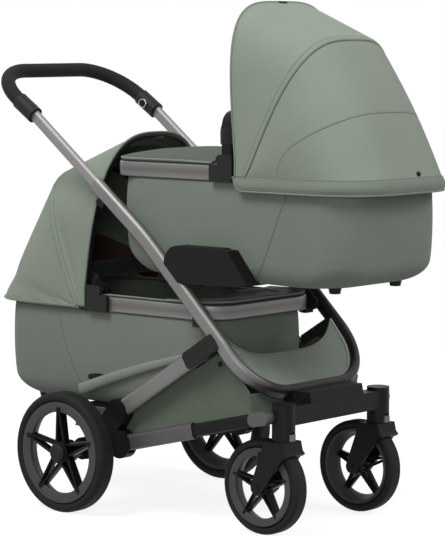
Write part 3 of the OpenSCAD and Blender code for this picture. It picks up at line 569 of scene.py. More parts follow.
def outward_quads(points, first, inside):
    """The cells of a grid, turned so that their faces point away from inside on the whole. For a closed
    grid the sum that is tested is its volume, so any point will do."""
    cells = quads_of(*points.shape[:2], first)
    corner = points.reshape(-1, 3)[cells - first]
    away = corner.mean(1) - (points.mean((0, 1)) if inside is None else np.asarray(inside))
    facing = np.cross(corner[:, 2] - corner[:, 0], corner[:, 3] - corner[:, 1])
    return cells if np.sum(facing * away) > 0 else cells[:, ::-1]


def quad_mesh(name, points, quads, uv):
    """A smooth mesh of quads with a flat pattern."""
    mesh = bpy.data.meshes.new(name)
    mesh.vertices.add(len(points))
    mesh.vertices.foreach_set("co", points.astype(np.float32).ravel())
    mesh.loops.add(quads.size)
    mesh.loops.foreach_set("vertex_index", quads.astype(np.int32).ravel())
    mesh.polygons.add(len(quads))
    mesh.polygons.foreach_set("loop_start", np.arange(0, quads.size, 4, dtype=np.int32))
    corner_uv = uv[quads.ravel()].astype(np.float32)
    mesh.uv_layers.new(name="pattern").data.foreach_set("uv", corner_uv.ravel())
    mesh.polygons.foreach_set("use_smooth", np.ones(len(quads), bool))
    mesh.update(calc_edges=True)
    mesh.validate()
    return mesh


def surface(name, grids, body, materials, inside=None, wrap=False, uv=None, wall=0, replaces=()):
    """Joins grids of points into one piece. body is the body that it rides on; given as a blend of two,
    both names and the start and end of the blend, the blend is not applied and the piece rides on no body
    and stays where it is. With wrap, a grid's last column meets its first. Faces turn away from the point
    inside; with none given, each grid is closed. A wall gives thickness inwards."""
    grids = grids if isinstance(grids, list) else [grids]
    patterns = [pattern(points) for points in grids] if uv is None else [uv]
    firsts = np.cumsum([0] + [points.shape[0] * points.shape[1] for points in grids])
    quads = np.concatenate([outward_quads(points, first, inside) for points, first in zip(grids, firsts)])
    flat = np.concatenate([points.reshape(-1, 3) for points in grids])
    flat_uv = np.concatenate([part.reshape(-1, 2) for part in patterns])
    piece = add_to_scene(name, quad_mesh(name, flat, quads, flat_uv))
    for material in materials:
        piece.data.materials.append(material)
    if wrap:
        piece.modifiers.new("seam", "WELD").merge_threshold = SEAM_GAP
    if wall:
        solid = piece.modifiers.new("wall", "SOLIDIFY")
        solid.thickness, solid.offset = wall, -1
        solid.material_offset = len(materials) - 1
    if isinstance(body, tuple):
        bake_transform(piece)
    else:
        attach(piece, body)
    if replaces:
        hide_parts(*replaces)
    return piece


# %% Tubes
SKEW = (0.31, 0.17, 0.93)


def tube_points(path, radius, side, around, squash):
    """A circle of the given radius carried along a path and closed at both ends. side is a direction
    that the path never runs along; squash stretches the circle along that direction."""
    tangent = unit(np.gradient(path, axis=0))
    first = unit(np.cross(tangent, side))
    second = np.cross(first, tangent)
    angle = np.linspace(0, 2 * np.pi, around + 1)
    ring = first[:, None] * np.cos(angle)[:, None] + second[:, None] * (squash * np.sin(angle))[:, None]
    points = path[:, None] + ring * np.broadcast_to(radius, len(path))[:, None, None]
    cap = np.repeat(path[[0, -1], None], around + 1, axis=1)
    return np.concatenate([cap[:1], points, cap[1:]])


def tube(name, path, radius, body, material, side=SKEW, around=10, squash=1.0):
    """A closed roll along a path."""
    points = tube_points(path, radius, np.array(side), around, squash)
    return surface(name, points, body, [material], wrap=True)


print("helpers are ready")

# %% [markdown]
# ## Where the cots are
# Both cots are the same, and the lower one faces backwards. So each is drawn once, from its foot end
# with the rim's top at z = 0, and `Cot.world` puts it into the pram. Its sizes come from the frame's own
# solids.

# %% Cots


class Cot:
    """One cot's place and sizes. turn is 1 if its head is in front and -1 if its head is behind."""

    def __init__(self, name, turn):
        low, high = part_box(name + "_rim")
        tub_low, tub_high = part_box(name + "_tub")
        hood_low, hood_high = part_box(name + "_hood")
        hinge = joints[name + "_hood_fold"]["pos_m"]
        self.name, self.turn, self.body = name, turn, name + "_cot"
        self.foot = low.x if turn > 0 else high.x
        self.top = high.z
        self.length, self.half, self.rim_h = high.x - low.x, high.y, high.z - low.z
        self.tub_half, self.base = tub_high.y, tub_low.z - high.z
        self.tub_foot = (tub_low.x - self.foot) if turn > 0 else (self.foot - tub_high.x)
        self.tub_head = (tub_high.x - self.foot) if turn > 0 else (self.foot - tub_low.x)
        self.hinge = np.array([abs(hinge[0] - self.foot), 0, hinge[2] - self.top])
        self.back = (hood_high.x - hinge[0]) if turn > 0 else (hinge[0] - hood_low.x)

    def world(self, points):
        """Turns points of the cot's own frame into the pram's."""
        return np.asarray(points, float) * [self.turn, self.turn, 1] + [self.foot, 0, self.top]


upper, lower = Cot("upper", 1), Cot("lower", -1)
COTS = (upper, lower)
for cot in COTS:
    print(cot.name, "rim", round(cot.length, 3), "x", round(2 * cot.half, 3), "m")

# %% [markdown]
# ## Hoods
# A hood is one sheet stretched over two bows. The cloth runs straight from the front bow to the middle
# bow and from there, swelling a little, down to an outline around the head of the cot. So we draw those
# three curves, space the same number of points along each, and let lines between matching points make
# the sheet. The bows are superellipses: nearly upright at their feet, round at the shoulders and flat on
# top. Softening the rows turns the crease over the middle bow into the curve that cloth takes. The hood
# is the piece that moves most. Simulated cloth could be dropped over the bows; but taut cloth lies almost
# straight between them, so lines come closer to it and are the same in each run.

# %% Hood sheets
ACROSS = 161
COVER_OUT = 0.006
HEAD_CORNER = 0.126
MID_ANGLE = math.radians(64.9)
MID_RISE, MID_POWER = 0.350, 3.2
MID_FOOT = np.array([0.024, 0, -0.048])
FRONT_ROWS, BACK_ROWS = 32, 46
MID_ROW = FRONT_ROWS - 1
UPPER_FOLD, LOWER_FOLD = -0.026, -0.029


def bow_curve(cot, foot, angle, height, power, fold_z):
    """A superellipse arch from one side to the other that stands on foot. It leans by an angle that is 0
    towards the head and a right angle when upright, and its feet are carried straight down to the
    fold."""
    half = cot.half + COVER_OUT
    turn = np.linspace(0, np.pi, 1201)
    y = half * np.sign(np.cos(turn)) * np.abs(np.cos(turn)) ** (2 / power)
    rise = height * np.abs(np.sin(turn)) ** (2 / power)
    arch = foot + np.stack([rise * math.cos(angle), y, rise * math.sin(angle)], -1)
    arch = arch[arch[:, 2] > fold_z]
    feet = arch[[0, -1]] * [1, 1, 0] + [0, 0, fold_z]
    return resample(np.concatenate([feet[:1], arch, feet[1:]]), ACROSS)


def head_plan(cot, start_x, count):
    """The hood's outline from above: back along one side, round the head and forward along the other."""
    half, end_x = cot.half + COVER_OUT, cot.hinge[0] + cot.back
    corners = [(start_x, half), (end_x, half), (end_x, -half), (start_x, -half)]
    return resample(rounded(corners, [HEAD_CORNER, HEAD_CORNER]), count)


def hood_sheet(cot, fold_z, front_angle, front_r, front_power, swell):
    """The hood's grid: rows from the front bow over the middle bow to the fold, in the cot's own frame."""
    front = bow_curve(cot, cot.hinge, math.radians(front_angle), front_r, front_power, fold_z)
    middle = bow_curve(cot, cot.hinge + MID_FOOT, MID_ANGLE, MID_RISE, MID_POWER, fold_z)
    base = np.column_stack([head_plan(cot, middle[0, 0], ACROSS), np.full(ACROSS, fold_z)])
    down, side = np.linspace(0, 1, BACK_ROWS), np.abs(np.linspace(-1, 1, ACROSS))
    back = lerp(middle, base, down)
    push = swell * np.sin(np.pi * down)[:, None] * (1 - side**6)
    back += outward_normals(back, cot.hinge) * push[..., None]
    sheet = np.concatenate([lerp(front, middle, np.linspace(0, 1, FRONT_ROWS)), back[1:]])
    return soften(soften(sheet, 2), 2)


upper_sheet = hood_sheet(upper, UPPER_FOLD, front_angle=95, front_r=0.348, front_power=3.9, swell=0.008)
lower_sheet = hood_sheet(lower, LOWER_FOLD, front_angle=98, front_r=0.364, front_power=2.9, swell=0.002)
print("hood grids:", upper_sheet.shape, lower_sheet.shape)

# %% [markdown]
# The lower hood stands a little slack. Its cloth hangs in soft folds that run from the middle bow's
# shoulder down to the hinge, and it ripples above its lower edge. Each fold is a valley along a line of
# the grid, pushed in along the normal. Painted shadows would be simpler, but they wouldn't change with
# the light.

# %% Slack in the lower hood
FOLD_DEPTH, RIPPLE_DEPTH = 0.0050, 0.0012


def crease(rows, columns, start, end, width, depth):
    """A valley along a line from start to end, pairs of row and column shares, that fades at both ends."""
    line = np.array(end) - start
    spot = np.stack([rows, columns], -1) - start
    along = np.clip(spot @ line / (line @ line), 0, 1)
    away = np.linalg.norm(spot - along[..., None] * line, axis=-1)
    return -depth * np.exp(-((away / width) ** 2)) * np.sin(np.pi * np.clip(along * 0.9 + 0.05, 0, 1)) ** 0.5


def slack(cot, sheet):
    """The sheet with two folds at the shoulders, one low down, one on the back and a row of ripples."""
    rows, columns = np.meshgrid(np.linspace(0, 1, len(sheet)), np.linspace(-1, 1, ACROSS), indexing="ij")
    mid = MID_ROW / (len(sheet) - 1)
    push = crease(rows, columns, (mid * 0.86, -0.55), (mid * 0.66, -0.95), 0.035, FOLD_DEPTH)
    push += crease(rows, columns, (mid * 0.80, 0.50), (mid * 0.62, 0.95), 0.035, FOLD_DEPTH * 0.9)
    push += crease(rows, columns, (0.88, -0.98), (0.90, 0.98), 0.06, FOLD_DEPTH * 0.6)
    push += crease(rows, columns, (mid * 1.30, 0.30), (mid * 1.90, 0.45), 0.045, FOLD_DEPTH * 0.5)
    push += RIPPLE_DEPTH * np.exp(-(((rows - 0.93) / 0.07) ** 2)) * np.sin(34 * columns + 20 * rows)
    push *= (1 - np.abs(columns) ** 16) * smoothstep(0, 0.06, rows) * smoothstep(1, 0.96, rows)
    return sheet + outward_normals(sheet, cot.hinge) * push[..., None]


lower_sheet = slack(lower, lower_sheet)
print("folds up to", round(FOLD_DEPTH * 1000), "mm deep")

# %% [markdown]
# The flat pattern of a hood runs across it from side to side and down it from the front edge. The upper
# hood's one curved seam crosses the back panel half way up and turns down steeply to the fold on both
# sides; the front edge is hemmed. A ribbon is sewn over the middle bow, and a rolled binding closes the
# front edge. Inside, the lining is dark green with a brown panel across the back and two pale pipings
# below it, and a darker sleeve holds the front bow. Seam and stitches are drawn by the finish, because
# they are thinner than the grid is fine.

# %% Hood cloth
# Painted light: the hood's cloth is a lighter copy of the same sage, for the light its sloping sheet catches.
HOOD_PAINTED_LIT, HOOD_PAINTED_LIT_PALE = (0.172, 0.202, 0.166), (0.268, 0.306, 0.258)
GREEN, GREEN_LIGHT = (0.090, 0.110, 0.082), (0.150, 0.178, 0.138)
BROWN, PIPING = (0.060, 0.033, 0.026), (0.34, 0.37, 0.33)
PANEL_FROM, PANEL_TO, PANEL_HALF = 0.53, 0.79, 0.74
PIPING_AT, PIPING_HALF = (0.80, 0.85), (0.007, 0.006)
sleeve_cloth = cloth("sleeve_cloth", (0.034, 0.041, 0.031), (0.056, 0.066, 0.052))


def hood_lining(name, middle, drop, wide):
    """Green cloth. A point's share of the drop below the middle bow says whether it lies on the brown
    panel or on one of the two pipings."""
    finish = Finish(name, GREEN_LIGHT, 0.9, Specular_IOR_Level=0.1)
    side, along = finish.uv()
    share = (along - middle) / drop
    panel = (share - PANEL_FROM).math("GREATER_THAN", 0) * (share - PANEL_TO).math("LESS_THAN", 0)
    panel = panel * (abs(side) - PANEL_HALF * wide).math("LESS_THAN", 0)
    lines = (share - PIPING_AT[0]).near(PIPING_HALF[0]) + (share - PIPING_AT[1]).near(PIPING_HALF[1])
    colour = finish.tint(finish.noise(300, 3), GREEN, GREEN_LIGHT)
    finish.feed("Base Color", finish.shade(finish.shade(colour, panel, BROWN), lines, PIPING))
    finish.bump(lines + finish.noise(60, 4) * 0.3, CLOTH_DEPTH, 0.5)
    return finish.material


print("sleeve:", sleeve_cloth.name)

# %% Hood pieces
SEAM_SHARE, SEAM_REACH, SEAM_BEND = 0.545, 0.80, 13
FRONT_HEM = 0.010
COVER_WALL = 0.0022
HOOD_MIDDLE = (0.1, 0, 0.1)
BINDING_R = 0.0024
EDGE_SIDE = (1, 0, 0.2)
SLEEVE_ROWS, SLEEVE_DEEP, SLEEVE_GAP = 10, 0.016, 0.001
THIN = 0.0008
RIBBON_W, RIBBON_LIFT, RIBBON_SPAN = 0.0085, 0.0016, 8
RIBBON_EDGES = (0.0022, 0.0161)
RIBBON_ACROSS, RIBBON_RISE = (-1, -0.85, 0, 0.85, 1), (0.1, 1, 1.15, 1, 0.1)
BLEND_FROM, BLEND_TO = np.array([0.099, 0, 0.031]), np.array([-0.011, 0, 0.341])


def bow_blend(cot):
    """The cot's body and its front bow, with the start and end of a blend between them, near the hinge and high on
    the bow.
    """
    hinge, facing = cot.world(cot.hinge), np.array([cot.turn, 1, 1])
    return cot.body, cot.name + "_bow", tuple(hinge + BLEND_FROM * facing), tuple(hinge + BLEND_TO * facing)


def ribbon_strip(world, normal):
    """Five rows that lie on the sheet along its middle row. Each is found by going its distance down
    every column from the middle row, between the two rows of the sheet that it falls between."""
    part = world[MID_ROW - RIBBON_SPAN : MID_ROW + RIBBON_SPAN + 1]
    step = np.linalg.norm(np.diff(part, axis=0), axis=-1)
    far = np.concatenate([np.zeros((1, ACROSS)), np.cumsum(step, axis=0)])
    far -= far[RIBBON_SPAN]
    column = np.arange(ACROSS)
    strip = []
    for offset, rise in zip(RIBBON_ACROSS, RIBBON_RISE):
        at = np.clip(offset * RIBBON_W, far[0], far[-1])
        row = np.clip(np.sum(far <= at, axis=0) - 1, 0, len(step) - 1)
        share = (at - far[row, column]) / step[row, column]
        before, after = part[row, column], part[row + 1, column]
        strip.append(before + (after - before) * share[:, None] + normal[MID_ROW] * RIBBON_LIFT * rise)
    return np.array(strip)


def dress_hood(cot, sheet, seamed):
    """The cover over its bows, and what is sewn to it: the bow's sleeve, the ribbon and the binding."""
    down = path_lengths(sheet[:, ACROSS // 2])
    across = path_lengths(sheet[-1])
    wide, middle, drop = float(across[-1] / 2), float(down[MID_ROW]), float(down[-1] - down[MID_ROW])
    uv = np.stack(np.meshgrid(across - wide, down), -1)

    def back_seam(side, along):
        """Level in the middle, and down to the fold by a high power of how far to the side a point lies."""
        reach = abs(side) / (SEAM_REACH * wide)
        return along - middle - drop * SEAM_SHARE - reach**SEAM_BEND * (drop * (1 - SEAM_SHARE))

    seams, edges = [back_seam], [line_at(edge) for edge in RIBBON_EDGES]
    sewn = cloth(cot.name + "_hood_cloth", HOOD_PAINTED_LIT, HOOD_PAINTED_LIT_PALE, seams if seamed else [], [line_at(FRONT_HEM)])
    ribbon_cloth = cloth(cot.name + "_ribbon_cloth", HOOD_PAINTED_LIT, HOOD_PAINTED_LIT_PALE, edges if seamed else [],
                         [] if seamed else edges)
    under = hood_lining(cot.name + "_hood_lining", middle, drop, wide)
    inside = cot.world(cot.hinge + HOOD_MIDDLE)
    world, blend = cot.world(sheet), bow_blend(cot)
    normal = outward_normals(world, inside)
    cover = surface(cot.name + "_hood_cover", world, blend, [sewn, under], inside, uv=uv,
                    wall=COVER_WALL, replaces=[cot.name + "_hood"])
    deep = SLEEVE_GAP + SLEEVE_DEEP * np.sin(np.linspace(0, np.pi, SLEEVE_ROWS)) ** 0.5
    held = world[:SLEEVE_ROWS] - normal[:SLEEVE_ROWS] * deep[:, None, None]
    sleeve = surface(cot.name + "_bow_sleeve", held, blend, [sleeve_cloth], inside, wall=THIN)
    strip = ribbon_strip(world, normal)
    ribbon = surface(cot.name + "_hood_ribbon", strip, blend, [ribbon_cloth], inside,
                     wall=THIN)
    binding = tube(cot.name + "_hood_binding", world[0], BINDING_R, blend, plain_sage,
                   side=EDGE_SIDE, around=8)
    return cover, [ribbon, binding, sleeve], (float(across[-1]), float(down[-1]))


hoods = {}
for cot, sheet in ((upper, upper_sheet), (lower, lower_sheet)):
    hoods[cot.name] = dress_hood(cot, sheet, cot is upper)
    print(cot.name, "hood: cloth of", [round(side, 3) for side in hoods[cot.name][2]], "m")

# %% [markdown]
# On the upper hood a band of doubled cloth hangs below the fold and stays on the cot. It bulges a little
# over the rim, its front corners are rounded off, and a roll is sewn along its lower edge. The band is a
# piece of its own, because the cloth above it swings with the bow. The lower hood ends in a roll alone.

# %% Hood bands
# Painted shade: the tubs and the hood band take a darker copy of the same sage, for their upright walls in shade.
TUB_PAINTED_SHADE, TUB_PAINTED_SHADE_PALE = (0.130, 0.154, 0.125), (0.206, 0.236, 0.198)
BAND_H, BAND_CORNER = 0.030, 0.029
BAND_ROWS, BAND_COLUMNS = 14, 241
BAND_START, BAND_LAP = 0.002, 0.0015
BAND_OUT, BAND_BULGE, BAND_FLARE, BAND_RIPPLE = 0.0012, 0.0060, 0.001, 0.0006
BAND_HEMS = (0.0235, 0.004)
BAND_WALL = 0.0024
BAND_MIDDLE = (0.15, 0, 0)
BAND_ROLL, FOLD_ROLL = 0.0022, 0.0026


def band_sheet(cot, fold_z):
    """Rows from the fold down to the lower edge, from the front corner on one side round the head to the
    other. At its ends the lower edge rises along a quarter circle."""
    plan = head_plan(cot, cot.hinge[0] - BAND_START, BAND_COLUMNS)
    tangent = np.gradient(plan, axis=0)
    outward = unit(np.column_stack([-tangent[:, 1], tangent[:, 0]]))
    outward *= np.sign(outward[0, 1] * plan[0, 1])
    along = path_lengths(plan)
    from_end = np.minimum(along, along[-1] - along)
    short = np.clip(BAND_CORNER - from_end, 0, BAND_CORNER)
    drop = BAND_H - BAND_CORNER + np.sqrt(np.maximum(BAND_CORNER**2 - short**2, 0))
    k = np.linspace(0, 1, BAND_ROWS)[:, None]
    bulge = BAND_OUT + BAND_BULGE * np.sin(np.pi * np.clip(k * 0.86, 0, 1)) + BAND_FLARE * k
    spread = bulge + BAND_RIPPLE * np.sin(along * 47) * np.sin(along * 19 + 1) * np.sin(np.pi * k)
    x, y = plan[:, 0] + outward[:, 0] * spread, plan[:, 1] + outward[:, 1] * spread
    return np.dstack([x, y, fold_z + BAND_LAP - k * drop])


def dress_band(cot, sheet):
    """The band, and the roll that follows its two ends and its lower edge."""
    points = cot.world(band_sheet(cot, sheet[-1, 0, 2]))
    inside = cot.world(cot.hinge + BAND_MIDDLE)
    sewn = cloth(cot.name + "_band_cloth", TUB_PAINTED_SHADE, TUB_PAINTED_SHADE_PALE, hems=[line_at(depth) for depth in BAND_HEMS])
    band = surface(cot.name + "_hood_band", points, cot.body, [sewn, lining], inside,
                   wall=BAND_WALL)
    edge = resample(np.concatenate([points[:, 0], points[-1, 1:-1], points[::-1, -1]]), 420)
    roll = tube(cot.name + "_band_roll", edge, BAND_ROLL, cot.body, plain_sage, around=8)
    return [band, roll]


hoods["upper"][1].extend(dress_band(upper, upper_sheet))
lower_edge = lower.world(lower_sheet[-1])
lower_roll = tube("lower_hood_roll", lower_edge, FOLD_ROLL, bow_blend(lower), plain_sage,
                  around=8)
hoods["lower"][1].append(lower_roll)
print("sewn to the hoods:", [piece.name for piece in hoods["upper"][1] + hoods["lower"][1]])

# %% [markdown]
# ## Tub covers
# A tub is cloth over a stiff board: its walls stand nearly straight and bulge a little, and its bottom
# edge is round. We stack outlines of the cot from the rim down, drawing each one in as the bottom edge
# curves under, and then close the bottom towards a line along the middle. A slanted seam crosses each
# long side. On the upper cot the head end dips a little and the bottom rises at the foot end. A rounded
# box would be quicker, but all its corners would be alike.

# %% Tubs
AROUND = 241
TUB_FOOT_R, TUB_HEAD_R = 0.074, 0.084
BOTTOM_R = 0.055
FOOT_UNDER, HEAD_UNDER, SIDE_UNDER = 0.062, 0.092, 0.034
WALL_ROWS, EDGE_ROWS, CLOSE_ROWS = 22, 12, 11
WALL_BULGE, RIM_GAP = 0.0030, 0.0004
SPINE_END = 0.2
DIP_FROM, DIP_TO, LIFT_TO = 0.25, 0.95, 0.19
TUB_HEM, TUB_WALL = 0.010, 0.005


def cot_loop(foot, head, half, foot_r, head_r, count=AROUND):
    """A closed outline of a cot from above, from the middle of the foot round the head and back."""
    corners = [(foot, 0), (foot, half), (head, half), (head, -half), (foot, -half), (foot, 0)]
    return resample(rounded(corners, [foot_r, head_r, head_r, foot_r]), count)


def tub_sheet(cot, sag, dip, short, lift):
    """Outlines from the rim down to the bottom edge, and on to a line along the middle of the bottom.
    sag lowers the middle, dip lowers the head and lift raises the foot; the last two are 0 at the
    rim."""
    wall_z = np.linspace(-cot.rim_h - RIM_GAP, cot.base + BOTTOM_R, WALL_ROWS)
    turn = np.linspace(0, np.pi / 2, EDGE_ROWS + 1)[1:]
    under = np.concatenate([np.zeros(WALL_ROWS), 1 - np.cos(turn)])
    z = np.concatenate([wall_z, cot.base + BOTTOM_R * (1 - np.sin(turn))])
    k = (wall_z - wall_z[0]) / (wall_z[-1] - wall_z[0])
    bulge = np.concatenate([WALL_BULGE * np.sin(np.pi * k) ** 0.7, np.zeros(EDGE_ROWS)])
    foot = cot.tub_foot + FOOT_UNDER * under - bulge
    head = cot.tub_head - short - HEAD_UNDER * under + bulge
    half = cot.tub_half - SIDE_UNDER * under + bulge
    loops = np.array([cot_loop(*row, TUB_FOOT_R, TUB_HEAD_R) for row in zip(foot, head, half)])
    sheet = np.dstack([loops, np.broadcast_to(z[:, None], loops.shape[:2])])
    edge = sheet[-1]
    spine_x = np.clip(edge[:, 0], cot.tub_foot + SPINE_END, cot.tub_head - SPINE_END)
    spine = np.column_stack([spine_x, 0 * edge[:, 1], edge[:, 2]])
    share = np.linspace(0, 1, CLOSE_ROWS + 1)[1:]
    close = lerp(edge, spine, share)
    close[..., 2] -= sag * np.sin(share * np.pi / 2)[:, None]
    sheet = np.concatenate([sheet, close])
    low = smoothstep(-cot.rim_h, cot.base + BOTTOM_R, sheet[..., 2])
    along = sheet[..., 0] / cot.length
    sheet[..., 2] -= dip * low * smoothstep(DIP_FROM, DIP_TO, along)
    sheet[..., 2] += lift * low * smoothstep(LIFT_TO, 0.0, along)
    return sheet


def dress_tub(cot, sag, dip, short, lift, seam_x, lean, bend):
    """The cover of one tub. Its seam starts at seam_x under the rim, then leans and bends downwards."""
    sheet = tub_sheet(cot, sag, dip, short, lift)
    across = lengths(sheet[:2], 1)
    middle = across[-1] / 2
    depth = path_lengths(sheet[:, AROUND // 4])
    uv = np.stack(np.meshgrid(across - middle, depth), -1)
    half_way = AROUND // 2
    reach = float(middle - np.interp(seam_x, sheet[0, :half_way, 0], across[:half_way]))

    def side_seam(along, down):
        """Alike on both sides: as far round from the head as reach, and further with the depth."""
        return abs(along) - reach - down * lean - down * down * bend

    hems = [line_at(TUB_HEM), line_at(float(depth[WALL_ROWS]))]
    sewn = cloth(cot.name + "_tub_cloth", TUB_PAINTED_SHADE, TUB_PAINTED_SHADE_PALE, [side_seam], hems)
    inside = cot.world([cot.length / 2, 0, cot.base / 2])
    cover = surface(cot.name + "_tub_cover", cot.world(sheet), cot.body, [sewn, lining],
                    inside, wrap=True, uv=uv, wall=TUB_WALL, replaces=[cot.name + "_tub"])
    return cover, float(across[-1]), float(depth[-1])


tubs = {
    "upper": dress_tub(upper, sag=0.004, dip=0.008, short=0, lift=0.022, seam_x=0.542, lean=0.42, bend=0.0),
    "lower": dress_tub(lower, sag=0.002, dip=0, short=0.009, lift=0, seam_x=0.492, lean=0.21, bend=1.1),
}
print("tubs:", {name: (round(along, 3), round(down, 3)) for name, (cover, along, down) in tubs.items()})

# %% [markdown]
# ## Rim bands
# The rim is an extruded band bent round the cot. Its long edges are rolled, which is what makes the
# bright lines along it, so the band's section is drawn with round corners and a slightly crowned face
# and carried round the outline. Its colour is darker along the middle of the face, as in the photograph:
# that band is painted shade, in place of a darker reflection.

# %% Rims
RIM_T, EDGE_R, FACE_R = 0.014, 0.0042, 0.3
RIM_FOOT_R, RIM_HEAD_R = 0.080, 0.120
RIM_CROWN, RIM_LIP = 0.0006, 0.002
RIM_COLUMNS = 321
RIM_GREY, RIM_LIGHT, RIM_PAINTED_SHADE = (0.185, 0.181, 0.178), (0.240, 0.235, 0.231), (0.095, 0.091, 0.088)


def carried(loop, section):
    """A section, pairs of outward reach and height, carried round a closed outline."""
    tangent = np.gradient(np.concatenate([loop[-2:-1], loop, loop[1:2]]), axis=0)[1:-1]
    outward = unit(np.column_stack([tangent[:, 1], -tangent[:, 0]]))
    outward *= np.sign(np.sum(outward * (loop - loop.mean(0))))
    flat = loop[None] + outward[None] * section[:, None, :1]
    return np.concatenate([flat, np.broadcast_to(section[:, None, 1:], (*flat.shape[:2], 1))], -1)


def band_grey(rim_h):
    """Anodised grey with painted shade: darker along the middle of the band's face than at its two edges."""
    finish = Finish("band_grey", GREY_LIGHT, 0.42, Metallic=0.7, Specular_IOR_Level=0.3)
    over = finish.uv()[1]
    # Painted shade: the middle of the face is darkened, in place of a darker reflection.
    middle = (over - (RIM_T + rim_h * 0.42)).near(rim_h * 0.5)
    colour = finish.tint(finish.noise(9, 3), RIM_GREY, RIM_LIGHT)
    finish.feed("Base Color", finish.shade(colour, middle * 0.75, RIM_PAINTED_SHADE))
    finish.bump(finish.noise(420, 4, GRAIN_STRETCH), GRAIN_DEPTH, 0.35)
    return finish.material


def dress_rim(cot, metal):
    """The band of one cot: in from the top, over the crowned face and in again at the bottom."""
    deep = cot.rim_h
    top, bottom = (-RIM_T, -RIM_LIP), (-RIM_T, RIM_LIP - deep)
    face = np.array([top, (0, 0), (RIM_CROWN, -deep / 2), (0, -deep), bottom])
    face[:, 0] -= RIM_CROWN
    section = rounded(face, [EDGE_R, FACE_R, EDGE_R], 9)
    section = np.concatenate([section, section[:1]])
    loop = cot_loop(0, cot.length, cot.half, RIM_FOOT_R, RIM_HEAD_R, RIM_COLUMNS)
    band = cot.world(carried(loop, section))
    return surface(cot.name + "_rim_band", band, cot.body, [metal], wrap=True,
                   replaces=[cot.name + "_rim"])


rim_metal_painted_shade = band_grey(upper.rim_h)
rims = [dress_rim(cot, rim_metal_painted_shade) for cot in COTS]
print("rim bands:", [rim.name for rim in rims])

# %% [markdown]
# ## Aprons
# An apron buttons over the foot of a cot. It rises from a lip on the rim to a low crown, and ends in a
# free edge under the carry handle. Its grid goes from the edge inwards to a line along the middle. The
# lower apron is slack, so sharp little folds run across it. A flat lid would look like a board; the
# crown and the folds make it cloth.

# %% Aprons
APRON, APRON_LIGHT = (0.066, 0.079, 0.062), (0.103, 0.119, 0.098)
# Painted shade: the lower apron's cloth is a darker copy of the upper one's, for the shade under the upper cot;
# its lower roughness makes it glossy.
SHINY_PAINTED_SHADE, SHINY_PAINTED_SHADE_PALE = (0.030, 0.036, 0.028), (0.056, 0.066, 0.052)
APRON_IN, APRON_GAP = 0.0035, 0.001
APRON_SPINE = 0.13
LIP_SHARE, LIP_RISE = [0, 0, 0.006, 0.02], [0.0010, 0.0055, 0.0085, 0.0095]
APRON_HEM, APRON_WALL = 0.016, 0.0018
APRON_ROLL, ROLL_UP = 0.0026, 0.0006


def apron_sheet(cot, length, crown, slack_depth):
    """Rows from the edge on the rim, up a small lip and inwards over the crown to the middle line. The
    folds are two crossing sets of ridges, the heights of bent sine waves."""
    half = cot.half - APRON_IN
    corners = [(length, -half), (APRON_IN, -half), (APRON_IN, half), (length, half)]
    edge = resample(rounded(corners, [RIM_FOOT_R, RIM_FOOT_R]), 181)
    spine = np.column_stack([np.clip(edge[:, 0], APRON_SPINE, length), 0 * edge[:, 1]])
    inner = np.linspace(0.05, 1, 40)
    k = np.concatenate([LIP_SHARE, inner])
    x, y = np.moveaxis(lerp(edge, spine, k), -1, 0)
    rise = np.concatenate([LIP_RISE, LIP_RISE[-1] + crown * (1 - (1 - inner) ** 2.2)])
    z = rise[:, None] * (1 - 0.25 * smoothstep(length - 0.10, length, x))
    soft = np.clip(k, 0, 0.3)[:, None] / 0.3
    ridged = 1 - 2 * np.abs(np.sin(33 * x + 13 * y + 1.5 * np.sin(17 * y)))
    fine = 1 - 2 * np.abs(np.sin(27 * y - 41 * x + 2 * np.sin(23 * x)))
    z = z + slack_depth * soft * (0.6 * ridged + 0.4 * fine)
    return np.dstack([x, y, np.maximum(z, THIN)])


def dress_apron(cot, dark, light, crown, slack_depth, roughness):
    """One apron and the binding along its lip."""
    low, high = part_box(cot.name + "_apron")
    length = float(high.x - low.x) - APRON_GAP
    world = cot.world(apron_sheet(cot, length, crown, slack_depth))
    sewn = cloth(cot.name + "_apron_cloth", dark, light, hems=[line_at(APRON_HEM)], roughness=roughness)
    below = cot.world([length / 2, 0, -0.3])
    cover = surface(cot.name + "_apron_cover", world, cot.body, [sewn, lining], below,
                    wall=APRON_WALL, replaces=[cot.name + "_apron"])
    lip = world[1] + [0, 0, ROLL_UP]
    binding = tube(cot.name + "_apron_binding", lip, APRON_ROLL, cot.body, plain_sage)
    return cover, [binding], length


aprons = {
    "upper": dress_apron(upper, APRON, APRON_LIGHT, crown=0.018, slack_depth=0.0004, roughness=0.85),
    "lower": dress_apron(lower, SHINY_PAINTED_SHADE, SHINY_PAINTED_SHADE_PALE, crown=0.001, slack_depth=0.0055, roughness=0.52),
}
print("aprons:", {name: round(apron[2], 3) for name, apron in aprons.items()})

# %% [markdown]
# ## Linings
# Inside, each tub is lined with a soft wall of dark green cloth that stands between the mattress and the
# rim, with a sage roll sewn along its upper edge. It is an outline of the cot drawn in by the rim's
# thickness, and it ripples a little. It needs no floor of its own, because the mattress lies there.

# %% Linings
LINER, LINER_LIGHT = (0.095, 0.114, 0.086), (0.142, 0.166, 0.128)
LINER_IN, LINER_END, LINER_FOOT_R = RIM_T + 0.0022, 0.010, 0.060
LINER_FROM, LINER_DOWN = 0.075, 0.0045
LINER_ROWS, LINER_RIPPLE, LINER_WALL = 18, 0.0016, 0.0012
LINER_ROLL, LINER_ROLL_UP = 0.0024, 0.0060
liner_cloth = cloth("liner_cloth", LINER, LINER_LIGHT)


